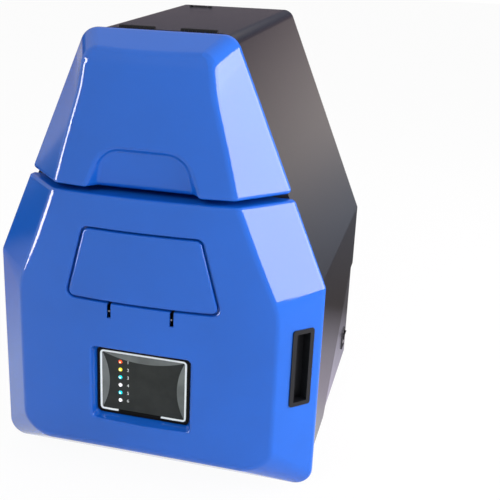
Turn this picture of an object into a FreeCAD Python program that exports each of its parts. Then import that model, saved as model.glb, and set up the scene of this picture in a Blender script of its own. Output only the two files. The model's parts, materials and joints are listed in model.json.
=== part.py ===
import FreeCAD, Part
import math
import os

# Benchtop gel imager: a dark steel cabinet with two blue front doors. Millimetres, +Z up.
# X runs across the front, +Y points to the back, and the origin is the middle of the footprint.

# Cabinet
foot_height = 32.0
body_height = 479.0
waist_height = 219.5
waist_half = 185.0
top_half = 76.0
cover_depth = 313.6
sheet = 1.5
fit = 0.4
top_bend = 14.0
waist_bend = 6.0
seam_gap = 3.0
side_cut_foot = 202.0
side_cut_height = 137.0
side_cut_run = 24.0
side_cut_bend = 40.0
chassis_overlap = 14.0
chassis_front_height = 60.0

# Rubber feet
foot_radius = 19.0
foot_taper = 3.0
foot_inset_side = 42.0
foot_inset_end = 36.0
foot_screw_radius = 2.5

# Doors
door_depth = 61.0
door_wall = 3.0
crown_radius = 700.0
crown_half_turn = 24.0
rim_overhang = 5.8
rim_straight = 4.5
rim_side_round = 6.5
upper_rim_round = 8.0
lip_round = 4.0
upper_door_bottom = 322.0
upper_door_rise = 2.8
lean_middle_height = 378.0
lean_middle_depth = 54.5
lean_height = 446.0
lean_depth = 47.0
top_round = 40.0
top_turn = 75.0
upper_corner_round = 20.0
waist_corner_round = 14.0
lower_corner_round = 20.0
door_gap = 6.0
lower_door_drop = 25.0
liner_sheet = 1.5

# The crease between a door's front and its bevels, as the bevels would reach it at one depth
bevel_depth = 66.0
crease_round = 12.0
crease_half = 127.8
crease_waist = 190.0
crease_waist_round = 150.0
crease_knee = 411.0
crease_knee_round = 60.0
crease_top_half = 62.0
crease_top = 452.0
crease_top_round = 20.0
crease_bottom = 19.0
crease_bottom_round = 40.0
rim_knee = 444.0
rim_knee_reach = 12.5

# Finger scoop in the upper door
scoop_top = 359.0
scoop_half_top = 41.0
scoop_half_bottom = 54.0
scoop_slope = 0.88
scoop_floor_bottom = 47.0
scoop_floor_top = 50.0
scoop_floor_round = 22.0
scoop_rim_round = 36.0
scoop_edge_round = 6.0

# Push door in the lower door
push_bottom = 196.0
push_top = 277.0
push_half_bottom = 87.0
push_half_top = 65.5
push_round = 7.0
push_thick = 4.0
push_gap = 2.0
push_behind = 1.5
push_edge_round = 3.0
pocket_edge_round = 2.5
window_ledge = 11.0
window_top_ledge = 17.0
window_thick = 3.0
window_lap = 4.0
arm_spread = 36.0
arm_thick = 3.0
arm_width = 5.0
arm_slot_width = 4.6
arm_slot_drop = 19.0
arm_slot_rise = 18.0
pivot_drop = 15.0
pivot_depth = 50.0
pivot_pin_radius = 1.5

# Indicator panel
panel_half_width = 54.5
panel_height = 82.0
panel_bottom = 53.5
panel_thick = 2.5
panel_floor_depth = 46.0
panel_round = 6.0
panel_slope = 6.0
recess_edge_round = 3.0
led_radius = 2.3
led_count = 6
led_pitch = 9.7
led_first_drop = 15.6
led_side = 27.0
led_proud = 1.4

# Pull handle in the right bevel
pull_width = 27.0
pull_height = 92.0
pull_middle = 133.0
pull_offset = 17.6
pull_flange = 1.4
pull_border = 3.0
pull_depth = 13.0
pull_wall = 2.0
pull_round = 3.0

# Hinges
hinge_radius = 2.5
upper_hinge_radius = 3.2
hinge_pin_radius = 1.0
hinge_play = 0.05
hinge_leaf = 1.2
hinge_knuckles = 9
hinge_knuckle_gap = 0.4
upper_hinge_length = 40.0
upper_hinge_inner = 14.5
upper_hinge_setback = 26.0
upper_hinge_rise = 1.0
upper_leaf_reach = 18.0
door_strip_half = 60.0
lower_hinge_length = 60.0
lower_hinge_low = 40.0
lower_hinge_high = 150.0
lower_leaf_reach = 20.0

# Front frame, chamber and camera bay
frame_sheet = 2.0
shelf_height = 300.0
chamber_half = 142.0
chamber_table_room = 20.0
liner_wall = 1.2
opening_half = 137.0
opening_low = 14.0
opening_high = 290.0
opening_round = 6.0
opening_lip = 5.0
strip_notch_low = 470.0
bay_bottom = 336.0
bay_top = 460.0
bay_margin = 27.5
gasket_width = 6.0
gasket_edge = 4.0
bay_gasket_edge = 2.0
gasket_gap = 0.4
magnet_length = 22.0
magnet_height = 8.0
strike_thick = 1.0
catch_gap = 0.3
upper_catch_edge = 22.2
upper_catch_low = 326.0
lower_catch_edge = 29.0
lower_catch_low = 40.0
lower_catch_high = 215.0

# Transilluminator
case_side_gap = 14.0
case_depth = 232.0
case_height = 74.0
case_front_gap = 16.0
case_wall = 1.5
glass_half = 105.0
side_air = 5.4
supply_air = 1.6
glass_thick = 5.0
tube_radius = 8.0
tube_length = 212.0
tube_count = 6
tube_rise = 36.0
table_thick = 10.0

# Camera and lens
lens_back = 132.0
lens_hole = 31.0
barrel_radius = 20.0
ring_wall = 4.5
ring_play = 0.1
camera_half = 26.0
camera_height = 62.0
filter_radius = 26.0
filter_slide_thick = 4.0
filter_travel = 62.0

# Fan and rear fittings
fan_size = 80.0
fan_depth = 25.0
fan_duct = 38.0
fan_height = 226.0
fan_hub = 16.0
fan_blades = 7
fan_tip_gap = 1.0
guard_reach = 4.5
fan_head = 2.0
guard_wire = 1.0
guard_eye_rise = 0.4
inlet_width = 50.0
inlet_flange_height = 24.0
inlet_side = 118.0
inlet_middle = 40.0
port_side = 41.0
port_back = 23.0
port_spacing = 26.0
screw_head = 3.2

# Power switch
switch_width = 21.0
switch_height = 28.0
switch_back = 32.0
switch_middle = 34.0
switch_bezel = 1.6
rocker_rest = 10.0

# Worked out from the sizes above
overall_depth = door_depth + seam_gap + cover_depth + guard_reach - guard_wire + guard_eye_rise + fan_head
door_back = door_depth - overall_depth / 2
cover_front = door_back + seam_gap
cover_rear = cover_front + cover_depth
base_z = foot_height
waist_z = base_z + waist_height
top_z = base_z + body_height
side_slope = (waist_half - top_half) / (top_z - waist_z)
side_stretch = math.hypot(1, side_slope)
upper_low = base_z + upper_door_bottom
upper_high = top_z + upper_door_rise
lower_low = base_z - lower_door_drop
lower_high = upper_low - door_gap
inset_step = math.sqrt(2) - 1
shelf_z = base_z + shelf_height
floor_z = base_z + sheet
case_half = chamber_half - case_side_gap
chamber_depth = case_front_gap + case_depth + chamber_table_room
chamber_rear = cover_front + frame_sheet + chamber_depth
lens_y = cover_front + lens_back
fan_z = base_z + fan_height
push_low_z = base_z + push_bottom
push_high_z = base_z + push_top
pivot_y = door_back - pivot_depth
pivot_z = push_low_z - pivot_drop
upper_hinge_y = door_back + upper_hinge_setback
upper_hinge_z = top_z - sheet / 2 + upper_hinge_rise
lower_hinge_x = -(waist_half + hinge_radius + 0.3)
lower_hinge_y = door_back + hinge_radius + 0.3


# Shape helpers
def at(plane, u, v, level):
    """A point from two plane coordinates and the level along the remaining axis."""
    if plane == "xz":
        return FreeCAD.Vector(u, level, v)
    if plane == "yz":
        return FreeCAD.Vector(level, u, v)
    return FreeCAD.Vector(u, v, level)


def rounded_wire(points, radii, plane, level):
    """A closed wire through the points, with each corner replaced by an arc of its radius.

    A corner that doesn't turn keeps a straight edge of its own, twice its radius long.
    """
    count = len(points)
    ends = []
    for i, (u, v) in enumerate(points):
        pu, pv = points[i - 1]
        nu, nv = points[(i + 1) % count]
        back = math.hypot(pu - u, pv - v)
        ahead = math.hypot(nu - u, nv - v)
        bu, bv = (pu - u) / back, (pv - v) / back
        au, av = (nu - u) / ahead, (nv - v) / ahead
        half = math.acos(max(-1, min(1, bu * au + bv * av))) / 2
        radius = radii[i]
        if radius <= 0:
            ends.append([(u, v)])
            continue
        straight = half > math.pi / 2 - 1e-3
        reach = radius if straight else radius / math.tan(half)
        first = (u + bu * reach, v + bv * reach)
        last = (u + au * reach, v + av * reach)
        if straight:
            ends.append([first, last])
            continue
        mu, mv = bu + au, bv + av
        length = math.hypot(mu, mv)
        middle = radius / math.sin(half) - radius
        ends.append([first, (u + mu / length * middle, v + mv / length * middle), last])
    edges = []
    for i in range(count):
        here, after = ends[i], ends[(i + 1) % count]
        corner = [at(plane, u, v, level) for u, v in here]
        if len(corner) == 3:
            edges.append(Part.Arc(*corner).toShape())
        if len(corner) == 2:
            edges.append(Part.LineSegment(*corner).toShape())
        stop = at(plane, *after[0], level)
        if corner[-1].distanceToPoint(stop) > 1e-6:
            edges.append(Part.LineSegment(corner[-1], stop).toShape())
    return Part.Wire(edges)


def prism(points, radii, plane, low, high):
    """A straight solid on a rounded outline, from one level to another."""
    if not isinstance(radii, (list, tuple)):
        radii = [radii] * len(points)
    face = Part.Face(rounded_wire(points, radii, plane, low))
    return face.extrude(at(plane, 0, 0, high - low))


def block(x0, x1, y0, y1, z0, z1):
    """A plain box between its corner coordinates."""
    return Part.makeBox(x1 - x0, y1 - y0, z1 - z0, FreeCAD.Vector(x0, y0, z0))


def rod(x, y, z, radius, length, axis):
    """A round bar that starts at a point and runs along an axis letter."""
    way = {"x": (1, 0, 0), "y": (0, 1, 0), "z": (0, 0, 1)}[axis]
    return Part.makeCylinder(radius, length, FreeCAD.Vector(x, y, z), FreeCAD.Vector(*way))


def rectangle(u0, u1, v0, v1):
    """Corner points of an upright rectangle."""
    return [(u0, v0), (u1, v0), (u1, v1), (u0, v1)]


def mirrored(shape):
    """The shape on the other side of the cabinet's middle plane."""
    return shape.mirror(FreeCAD.Vector(0, 0, 0), FreeCAD.Vector(1, 0, 0))


def joined(first, *others):
    """One clean shape from several that meet."""
    return first.fuse(list(others)).removeSplitter()


def group(shapes):
    """Separate solids kept together under one name."""
    return Part.makeCompound(list(shapes))


def edges_where(shape, test):
    """The edges whose bounding box passes a test."""
    return [edge for edge in shape.Edges if test(edge.BoundBox)]


# Outlines of the cabinet
def half_width(z, grow=0.0):
    """Half the cabinet's width at a height, pushed outwards square to its sides."""
    return min(waist_half + grow, top_half + (top_z - z) * side_slope + grow * side_stretch)


def both_sides(right):
    """Points and radii of a symmetric outline from the corners on its right, bottom to top."""
    left = [(-x, z, r) for x, z, r in reversed(right)]
    every = right + left
    return [(x, z) for x, z, r in every], [r for x, z, r in every]


def waist_at(grow):
    """Height of the cabinet's waist when its outline is pushed outwards."""
    return waist_z + grow * (side_stretch - 1) / side_slope


def outline(low, high, grow, low_round, waist_round, high_round):
    """Points and corner radii of a cabinet section between two heights."""
    right = [(half_width(low, grow), low, low_round), (half_width(high, grow), high, high_round)]
    if low < waist_at(grow) < high:
        right.insert(1, (waist_half + grow, waist_at(grow), waist_round))
    return both_sides(right)


def section(low, high, grow, front, back, low_round=0.0, waist_round=0.0, high_round=0.0):
    """A solid with the cabinet's outline, between two depths."""
    points, radii = outline(low, high, grow, low_round, waist_round, high_round)
    return prism(points, radii, "xz", front, back)


# Blue door shells
def crown_front(inset):
    """The barrel whose wall is the doors' crowned and leaning front, rounded over at the top."""
    axis_y = door_back - door_depth + crown_radius
    low, high = lower_low - 10, upper_high + 10
    skin = door_back + inset
    foot = at("yz", skin - door_depth, low, 0)
    rise = at("yz", skin - door_depth, upper_low, 0)
    middle = at("yz", skin - lean_middle_depth, base_z + lean_middle_height, 0)
    bend = at("yz", skin - lean_depth, base_z + lean_height, 0)
    lean = Part.Arc(rise, middle, bend)
    way = lean.tangent(lean.LastParameter)[0]
    inward = FreeCAD.Vector(0, way.z, -way.y)
    radius = top_round - inset

    def around(degrees):
        turn = math.radians(degrees)
        return bend + inward * radius * (1 - math.cos(turn)) + way * radius * math.sin(turn)
    tip = around(top_turn)
    crest = at("yz", tip.y, high, 0)
    corners = [crest, at("yz", axis_y, high, 0), at("yz", axis_y, low, 0), foot]
    edges = [Part.LineSegment(foot, rise).toShape(), lean.toShape(),
             Part.Arc(bend, around(top_turn / 2), tip).toShape(), Part.LineSegment(tip, crest).toShape()]
    edges += [Part.LineSegment(a, b).toShape() for a, b in zip(corners, corners[1:])]
    face = Part.Face(Part.Wire(edges))
    centre = FreeCAD.Vector(0, axis_y, 0)
    upright = FreeCAD.Vector(0, 0, 1)
    face.rotate(centre, upright, -crown_half_turn)
    return face.revolve(centre, upright, 2 * crown_half_turn)


def crease_half_at(z):
    """Half width of the crease outline at a height."""
    share = (z - base_z - crease_waist) / (crease_knee - crease_waist)
    return crease_half + (crease_top_half - crease_half) * min(max(share, 0), 1)


def door_corners(low, high, inset, upper):
    """A door's right-hand corners: around its rim, and around its crease outline."""
    grow = rim_overhang - inset
    spread = inset * math.sqrt(2)
    floor, roof = low + inset, high - inset
    if upper:
        knee = base_z + rim_knee
        rim = [(half_width(floor, grow), floor, 0), (half_width(knee, grow), knee, rim_knee_reach),
               (half_width(roof, grow), roof, upper_corner_round - inset)]
        crease = [(crease_half_at(floor) - spread, floor, 0),
                  (crease_top_half - spread, base_z + crease_knee, crease_knee_round),
                  (crease_top_half - spread, base_z + crease_top - spread, crease_top_round)]
    else:
        rim = [(waist_half + grow, floor, lower_corner_round - inset),
               (waist_half + grow, waist_at(grow), waist_corner_round - inset),
               (half_width(roof, grow), roof, 0)]
        crease = [(crease_half - spread, base_z + crease_bottom + spread, crease_bottom_round),
                  (crease_half - spread, base_z + crease_waist, crease_waist_round),
                  (crease_half_at(roof) - spread, roof, 0)]
    return rim, crease


def door_form(low, high, inset, upper):
    """The outer body of a door, or the hollow inside it when the inset is its wall."""
    rim, crease = door_corners(low, high, inset, upper)
    start = door_back - rim_straight + inset * inset_step
    back = door_back + (5 if inset else 0)
    behind = prism(*both_sides(rim), "xz", start, back)
    wires = [rounded_wire(*both_sides(rim), "xz", start),
             rounded_wire(*both_sides(crease), "xz", door_back - bevel_depth)]
    bevelled = Part.makeLoft(wires, True, True)
    return crown_front(inset).common(joined(behind, bevelled)).removeSplitter()


def trapezoid(half_low, half_high, low, high, grow=0.0):
    """Corner points of a symmetric trapezoid, grown evenly outwards."""
    slant = (half_low - half_high) / (high - low)
    stretch = math.hypot(1, slant)

    def half(z):
        return half_low - (z - low) * slant + grow * stretch
    return [(-half(low - grow), low - grow), (half(low - grow), low - grow),
            (half(high + grow), high + grow), (-half(high + grow), high + grow)]


# More sizes worked out from those above
cover_inner = -sheet
panel_inner = -(sheet + fit)
wall_x = waist_half - sheet - fit
frame_back = cover_front + frame_sheet
panel_front = cover_rear - sheet
strip_back = upper_hinge_y - 1.0
notch_back = upper_hinge_y + 1.2
hinge_clear = hinge_radius + fit
upper_hinge_clear = upper_hinge_radius + fit
case_front = frame_back + case_front_gap
case_middle = case_front + case_depth / 2
case_top = floor_z + case_height
shelf_top = shelf_z + sheet
switch_y = cover_rear - switch_back
switch_z = base_z + switch_middle
panel_low_z = base_z + panel_bottom
panel_high_z = panel_low_z + panel_height
panel_floor = door_back - panel_floor_depth
panel_face = panel_floor - panel_thick
ledge_inset = push_thick + push_behind
window_front = (door_back - door_depth + ledge_inset + door_wall + fit
                + (push_half_bottom - window_ledge + window_lap) ** 2 / (2 * crown_radius))
window_rear = window_front + window_thick
latch_z = push_high_z - 5.0


def rounded(form, radius, chosen):
    """The form with a round along its chosen edges."""
    return form.makeFillet(radius, [edge for edge in form.Edges if chosen(edge.BoundBox, edge)])


def creases(form, low, high):
    """Picks the edges between a door's front and its bevels."""
    def chosen(box, edge):
        level = box.ZMax < low + 0.01 or box.ZMin > high - 0.01
        return not level and box.YMax < door_back - rim_straight - 0.3 and crease_angle(form, edge) > 8
    return chosen


def lips(form, low, high):
    """Picks the edges around a door's level ends, in front of its rim."""
    def chosen(box, edge):
        level = box.ZMin > high - 0.01 or box.ZMax < low + 0.01
        flat = box.YMin > door_back - rim_straight - 0.2 and box.XLength > 8
        return level and not flat and box.YMax < door_back - 0.1 and crease_angle(form, edge) > 8
    return chosen


def rims(form, low, high):
    """Picks the edges where a door's bevels meet its straight rim."""
    def chosen(box, edge):
        crosswise = box.YMin > door_back - rim_straight - 0.3 and box.YMax < door_back - 0.1
        return crosswise and crease_angle(form, edge) > 8
    return chosen


def crease_angle(form, edge):
    """Degrees between the two faces that meet at an edge."""
    faces = form.ancestorsOfType(edge, Part.Face)
    if len(faces) < 2:
        return 0.0
    point = edge.valueAt((edge.FirstParameter + edge.LastParameter) / 2)
    normals = [face.normalAt(*face.Surface.parameter(point)) for face in faces[:2]]
    return math.degrees(normals[0].getAngle(normals[1]))


def rim_of(form, skin, room):
    """Picks the edges that a cut left on a form's earlier skin, away from its level ends."""
    def chosen(box, edge):
        middle = edge.valueAt((edge.FirstParameter + edge.LastParameter) / 2)
        inside = room.XMin < box.XMin and box.XMax < room.XMax
        inside = inside and room.ZMin < box.ZMin and box.ZMax < room.ZMax
        outer = inside and skin.distToShape(Part.Vertex(middle))[0] < 0.01
        return outer and box.ZLength + box.XLength > 0.5 and crease_angle(form, edge) > 8
    return chosen


def liner_plate(low, high, upper):
    """The flat sheet that closes a door shell, just inside its rim."""
    rim = door_corners(low, high, door_wall, upper)[0]
    return prism(*both_sides(rim), "xz", door_back - liner_sheet, door_back)


def lofted(floor_points, floor_radii, back, rim_points, rim_radii, front):
    """A pocket that opens out from its floor outline to a wider rim outline."""
    floor_wire = rounded_wire(floor_points, floor_radii, "xz", back)
    rim_wire = rounded_wire(rim_points, rim_radii, "xz", front)
    return Part.makeLoft([floor_wire, rim_wire], True, True)


# Cabinet
def side_cut():
    """The wedge taken out of the lower rear of the cover's sides."""
    foot = cover_rear - side_cut_foot
    knee = cover_rear - side_cut_run
    run = (knee - foot) / side_cut_height
    low, high = base_z - 5, base_z + side_cut_height
    points = [(foot - 5 * run, low), (knee, high), (cover_rear + 5, high), (cover_rear + 5, low)]
    return prism(points, [0, side_cut_bend, 0, 0], "yz", -waist_half - 10, waist_half + 10)


def strip_space(grow, back):
    """Room around the door's top strip, with the hinge knuckles behind it."""
    half = door_strip_half + grow
    room = block(-half, half, door_back - 10, back, top_z - 20, top_z + 20)
    slot = block(upper_hinge_inner - fit, upper_hinge_inner + upper_hinge_length + fit,
                 back - 10, upper_hinge_y + upper_hinge_clear, top_z - 20, top_z + 20)
    return room, slot


def outer_cover():
    """The folded cover: slanted sides over upright sides, open underneath and at both ends."""
    outer = section(base_z, top_z, 0, cover_front, cover_rear, 0, waist_bend, top_bend)
    hollow = section(base_z - 5, top_z - sheet, cover_inner, cover_front - 5, cover_rear + 5,
                     0, waist_bend - sheet, top_bend - sheet)
    cover = outer.cut(hollow)
    lip_low = base_z + side_cut_height + chassis_overlap + 4
    lip = section(lip_low, top_z - sheet, cover_inner, panel_front - sheet, panel_front,
                  0, waist_bend - sheet, top_bend - sheet)
    lip = lip.cut(section(lip_low - 5, top_z - 14, -14, panel_front - 5, panel_front + 5, 0, 4, 10))
    room, slot = strip_space(1.5, notch_back)
    cover = cover.fuse(lip).cut([side_cut(), room, slot, mirrored(slot), port_room(0.2)])
    return cover.removeSplitter()


def chassis_wall_points():
    """The side wall's profile: low in front and climbing along the cover's cut."""
    foot = cover_rear - side_cut_foot
    knee = cover_rear - side_cut_run
    slope = side_cut_height / (knee - foot)
    lift = chassis_overlap * math.hypot(1, slope)
    start = foot + (chassis_front_height - lift) / slope
    high = side_cut_height + chassis_overlap
    end = foot + (high - lift) / slope
    return [(frame_back, base_z), (panel_front, base_z), (panel_front, base_z + high),
            (end, base_z + high), (start, base_z + chassis_front_height),
            (frame_back, base_z + chassis_front_height)]


def foot_places():
    """Middles of the four feet."""
    side = waist_half - foot_inset_side
    return [(x, y) for x in (-side, side)
            for y in (cover_front + foot_inset_end, cover_rear - foot_inset_end)]


def base_chassis():
    """The floor tray with its two side walls."""
    floor = block(-wall_x, wall_x, frame_back, panel_front, base_z, floor_z)
    right = prism(chassis_wall_points(), 0, "yz", wall_x - sheet, wall_x)
    tab = block(wall_x - 12, wall_x - sheet, panel_front - sheet, panel_front,
                floor_z, base_z + side_cut_height)
    tray = joined(floor, right, mirrored(right), tab, mirrored(tab))
    cuts = [rod(x, y, base_z - 1, foot_screw_radius, sheet + 2, "z") for x, y in foot_places()]
    cuts.append(block(wall_x - 5, wall_x + 5, switch_y - body_y(0.2), switch_y + body_y(0.2),
                      switch_z - body_z(0.2), switch_z + body_z(0.2)))
    for k in range(6):
        y = case_middle + (k - 2.5) * 22
        cuts.append(block(-170, -152, y - 3, y + 3, base_z - 1, floor_z + 1))
    return tray.cut(cuts)


def inlet_half(grow):
    """Half sizes of the inlet's body."""
    return inlet_width / 2 - 11 + grow, inlet_flange_height / 2 - 2 + grow


def vent_slots(low, rows):
    """Level slots that let air through the rear panel."""
    slots = []
    for row in range(rows):
        z = low + row * 9
        for side in (-1, 1):
            x = side * 34
            slots.append(block(x - 24, x + 24, panel_front - 5, cover_rear + 5, z, z + 4))
    return slots


def rear_panel():
    """The flat rear plate with its fan hole, inlet hole and vents."""
    panel = section(base_z, top_z - sheet - fit, panel_inner, panel_front, cover_rear,
                    0, waist_bend - sheet, top_bend - sheet)
    half_x, half_z = inlet_half(0.2)
    z = base_z + inlet_middle
    cuts = [rod(0, panel_front - 5, fan_z, fan_duct, 20, "y"),
            block(-inlet_side - half_x, -inlet_side + half_x, panel_front - 5, cover_rear + 5,
                  z - half_z, z + half_z)]
    cuts += vent_slots(base_z + 340, 6)
    cuts += [rod(x, panel_front - 5, z, 1.6, 20, "y") for x, z in rear_screws() + fan_corners()]
    return panel.cut(cuts)


def rear_screws():
    """Places of the screws along the rear panel's edge."""
    places = []
    for side in (-1, 1):
        for z in (base_z + 14, base_z + 110):
            places.append((side * (wall_x - 7), z))
        for height in (190, 300, 420):
            z = base_z + height
            places.append((side * (half_width(z) - 9), z))
    return places


def rear_screw(x, z, seat):
    """A round-headed screw with a cross recess, driven forward from a seat."""
    head = rod(x, seat, z, screw_head, 2.0, "y")
    head = head.makeFillet(1.2, edges_where(head, lambda box: box.YMin > seat + 1.9))
    cross = [block(x - 1.8, x + 1.8, seat + 1.1, seat + 3, z - 0.4, z + 0.4),
             block(x - 0.4, x + 0.4, seat + 1.1, seat + 3, z - 1.8, z + 1.8)]
    shank = rod(x, seat - sheet, z, 1.5, sheet, "y")
    return joined(head, shank).cut(cross)


def cover_screws():
    """Screws that hold the rear panel to the cover and the chassis."""
    return group(rear_screw(x, z, cover_rear) for x, z in rear_screws())


def rubber_feet():
    """Four tapered feet, each with a screw well underneath."""
    feet = []
    for x, y in foot_places():
        foot = Part.makeCone(foot_radius - foot_taper, foot_radius, foot_height, FreeCAD.Vector(x, y, 0))
        foot = foot.makeFillet(2.0, edges_where(foot, lambda box: box.ZMax < 0.1))
        well = rod(x, y, -1, 6, foot_height - 4, "z")
        hole = rod(x, y, 0, foot_screw_radius, foot_height + 1, "z")
        feet.append(foot.cut([well, hole]))
    return group(feet)


def opening_points(grow):
    """The chamber opening's corners."""
    return rectangle(-opening_half - grow, opening_half + grow,
                     base_z + opening_low - grow, base_z + opening_high + grow)


def bay_points(grow):
    """The camera bay opening's corners."""
    low, high = base_z + bay_bottom, base_z + bay_top
    return trapezoid(half_width(low) - bay_margin, half_width(high) - bay_margin, low, high, grow)


def front_frame():
    """The face frame behind the doors, with the chamber and camera bay openings."""
    plate = section(base_z, top_z - sheet - fit, panel_inner, cover_front, frame_back,
                    0, waist_bend - sheet, top_bend - sheet)
    lip = prism(opening_points(frame_sheet), opening_round, "xz", cover_front, frame_back + opening_lip)
    opening = prism(opening_points(0), opening_round, "xz", cover_front - 5, frame_back + 20)
    bay = prism(bay_points(0), opening_round, "xz", cover_front - 5, frame_back + 20)
    notch = block(-door_strip_half - 2, door_strip_half + 2, cover_front - 5, frame_back + 5,
                  base_z + strip_notch_low, top_z + 5)
    return joined(plate, lip).cut([opening, bay, notch])


def door_gaskets():
    """Soft seals around both openings, on the face of the frame."""
    front = door_back + gasket_gap
    seals = []
    for points, edge in ((opening_points, gasket_edge), (bay_points, bay_gasket_edge)):
        outside = prism(points(edge + gasket_width), opening_round + gasket_width, "xz",
                        front, cover_front)
        inside = prism(points(edge), opening_round, "xz", front - 5, cover_front + 5)
        seal = outside.cut(inside)
        seals.append(seal)
    return group(seals)


def catch_places(upper):
    """Lower corners of the magnetic catches of one door."""
    if upper:
        z = base_z + upper_catch_low
        x = half_width(z) - upper_catch_edge
        return [(x, z), (-x - magnet_height, z)]
    x = waist_half - lower_catch_edge
    return [(x, base_z + z) for z in (lower_catch_low, lower_catch_high)]


def catch_magnets():
    """Magnet blocks on the frame that hold the doors shut."""
    front = door_back + strike_thick + catch_gap
    places = catch_places(True) + catch_places(False)
    return group(block(x, x + magnet_height, front, cover_front, z, z + magnet_length)
                 for x, z in places)


def strikes(upper):
    """Steel plates on a door's liner, facing the magnets."""
    return group(block(x, x + magnet_height, door_back, door_back + strike_thick, z, z + magnet_length)
                 for x, z in catch_places(upper))


def chamber_liner():
    """The dark chamber's side walls and back, bent from one sheet."""
    inner = chamber_half
    outer = inner + liner_wall
    points = [(-outer, frame_back), (-inner, frame_back), (-inner, chamber_rear), (inner, chamber_rear),
              (inner, frame_back), (outer, frame_back), (outer, chamber_rear + liner_wall),
              (-outer, chamber_rear + liner_wall)]
    radii = [0, 0, 4, 4, 0, 0, 4 + liner_wall, 4 + liner_wall]
    liner = prism(points, radii, "xy", floor_z, shelf_z)
    slots = [block(-inner + 20, -inner + 60, chamber_rear - 10, chamber_rear + 10,
                   floor_z + 20 + 8 * k, floor_z + 23 + 8 * k) for k in range(4)]
    return liner.cut(slots)


def camera_shelf():
    """The shelf over the chamber that carries the camera, turned up in front."""
    half = half_width(shelf_top, panel_inner)
    plate = block(-half, half, frame_back, panel_front - sheet, shelf_z, shelf_top)
    turn = block(-half + 10, half - 10, frame_back, frame_back + sheet, shelf_top, shelf_top + 12)
    cuts = [rod(0, lens_y, shelf_z - 1, lens_hole, sheet + 2, "z")]
    for k in range(6):
        x = (k - 2.5) * 30
        cuts.append(block(x - 8, x + 8, lens_y + 80, lens_y + 84, shelf_z - 1, shelf_top + 1))
    return joined(plate, turn).cut(cuts)


# Fittings on the top and the rear
def port_room(grow):
    """The hole for the accessory port in the cover's top."""
    x, y = -port_side, cover_rear - port_back
    return block(x - 9.5 - grow, x + 9.5 + grow, y - 4 - grow, y + 4 + grow, top_z - 20, top_z + 5)


def top_port():
    """The accessory port: a shallow connector held from inside the cover."""
    x, y = -port_side, cover_rear - port_back
    under = top_z - sheet
    flange = block(x - 19, x + 19, y - 6, y + 6, under - 2, under)
    body = block(x - 9.5, x + 9.5, y - 4, y + 4, under - 12, top_z + 1)
    well = block(x - 8.3, x + 8.3, y - 2.8, y + 2.8, top_z - 6, top_z + 2)
    tongue = block(x - 6.8, x + 6.8, y - 0.7, y + 0.7, top_z - 7, top_z)
    port = joined(flange, body).cut(well)
    return joined(port, tongue)


def top_port_screws():
    """The two screws beside the port."""
    y = cover_rear - port_back
    screws = []
    for side in (-1, 1):
        x = -port_side + side * port_spacing / 2
        head = rod(x, y, top_z, 2.7, 1.6, "z")
        head = head.makeFillet(0.8, edges_where(head, lambda box: box.ZMin > top_z + 1.5))
        screws.append(head.cut(rod(x, y, top_z + 0.6, 1.2, 2, "z")))
    return group(screws)


def power_inlet():
    """The mains inlet with its three blades inside the well."""
    x, z = -inlet_side, base_z + inlet_middle
    half_x, half_z = inlet_half(0)
    flange = prism(rectangle(x - inlet_width / 2, x + inlet_width / 2, z - inlet_flange_height / 2,
                             z + inlet_flange_height / 2), 4, "xz", cover_rear, cover_rear + 3)
    body = block(x - half_x, x + half_x, cover_rear - 24, cover_rear, z - half_z, z + half_z)
    well = prism(rectangle(x - half_x + 1.5, x + half_x - 1.5, z - half_z + 1.5, z + half_z - 1.5),
                 3, "xz", cover_rear - 18, cover_rear + 5)
    inlet = joined(flange, body).cut(well)
    blades = [block(x - 1 + 7 * k, x + 1 + 7 * k, cover_rear - 19, cover_rear - 2, z - 2, z + 2)
              for k in (-1, 0, 1)]
    return joined(inlet, *blades)


def fan_corners():
    """Middles of the fan's four mounting holes."""
    reach = fan_size / 2 - 4.25
    return [(x, fan_z + z) for x in (-reach, reach) for z in (-reach, reach)]


def fan_frame():
    """The square fan housing with its motor cup on four struts."""
    half = fan_size / 2
    front = panel_front - fan_depth
    body = prism(rectangle(-half, half, fan_z - half, fan_z + half), 4, "xz", front, panel_front)
    body = body.cut(rod(0, front - 1, fan_z, fan_duct, fan_depth + 2, "y"))
    cup = rod(0, panel_front - 5, fan_z, fan_hub, 5, "y")
    struts = [block(-fan_duct - 1, fan_duct + 1, panel_front - 4, panel_front - 1, fan_z - 2, fan_z + 2),
              block(-2, 2, panel_front - 4, panel_front - 1, fan_z - fan_duct - 1, fan_z + fan_duct + 1)]
    holes = [rod(x, front - 1, z, 2.1, fan_depth + 2, "y") for x, z in fan_corners()]
    bearing = rod(0, panel_front - 6, fan_z, 1.5 + hinge_play, 5, "y")
    return joined(body, cup, *struts).cut(holes + [bearing])


def fan_rotor():
    """The fan's hub and its pitched blades on a short spindle."""
    front = panel_front - fan_depth + 2
    depth = fan_depth - 8
    hub = rod(0, front, fan_z, fan_hub, depth, "y")
    spindle = rod(0, front, fan_z, 1.5, depth + 4, "y")
    room = rod(0, front, fan_z, fan_duct - fan_tip_gap, depth, "y")
    blades = []
    for k in range(fan_blades):
        blade = block(-1, 1, front - 6, front + depth + 6, fan_z + fan_hub - 2, fan_z + fan_duct)
        blade.rotate(FreeCAD.Vector(0, front + depth / 2, fan_z), FreeCAD.Vector(0, 0, 1), 42)
        blade.rotate(FreeCAD.Vector(0, 0, fan_z), FreeCAD.Vector(0, 1, 0), 360 / fan_blades * k)
        blades.append(blade.common(room))
    return joined(hub, spindle, *blades)


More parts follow.
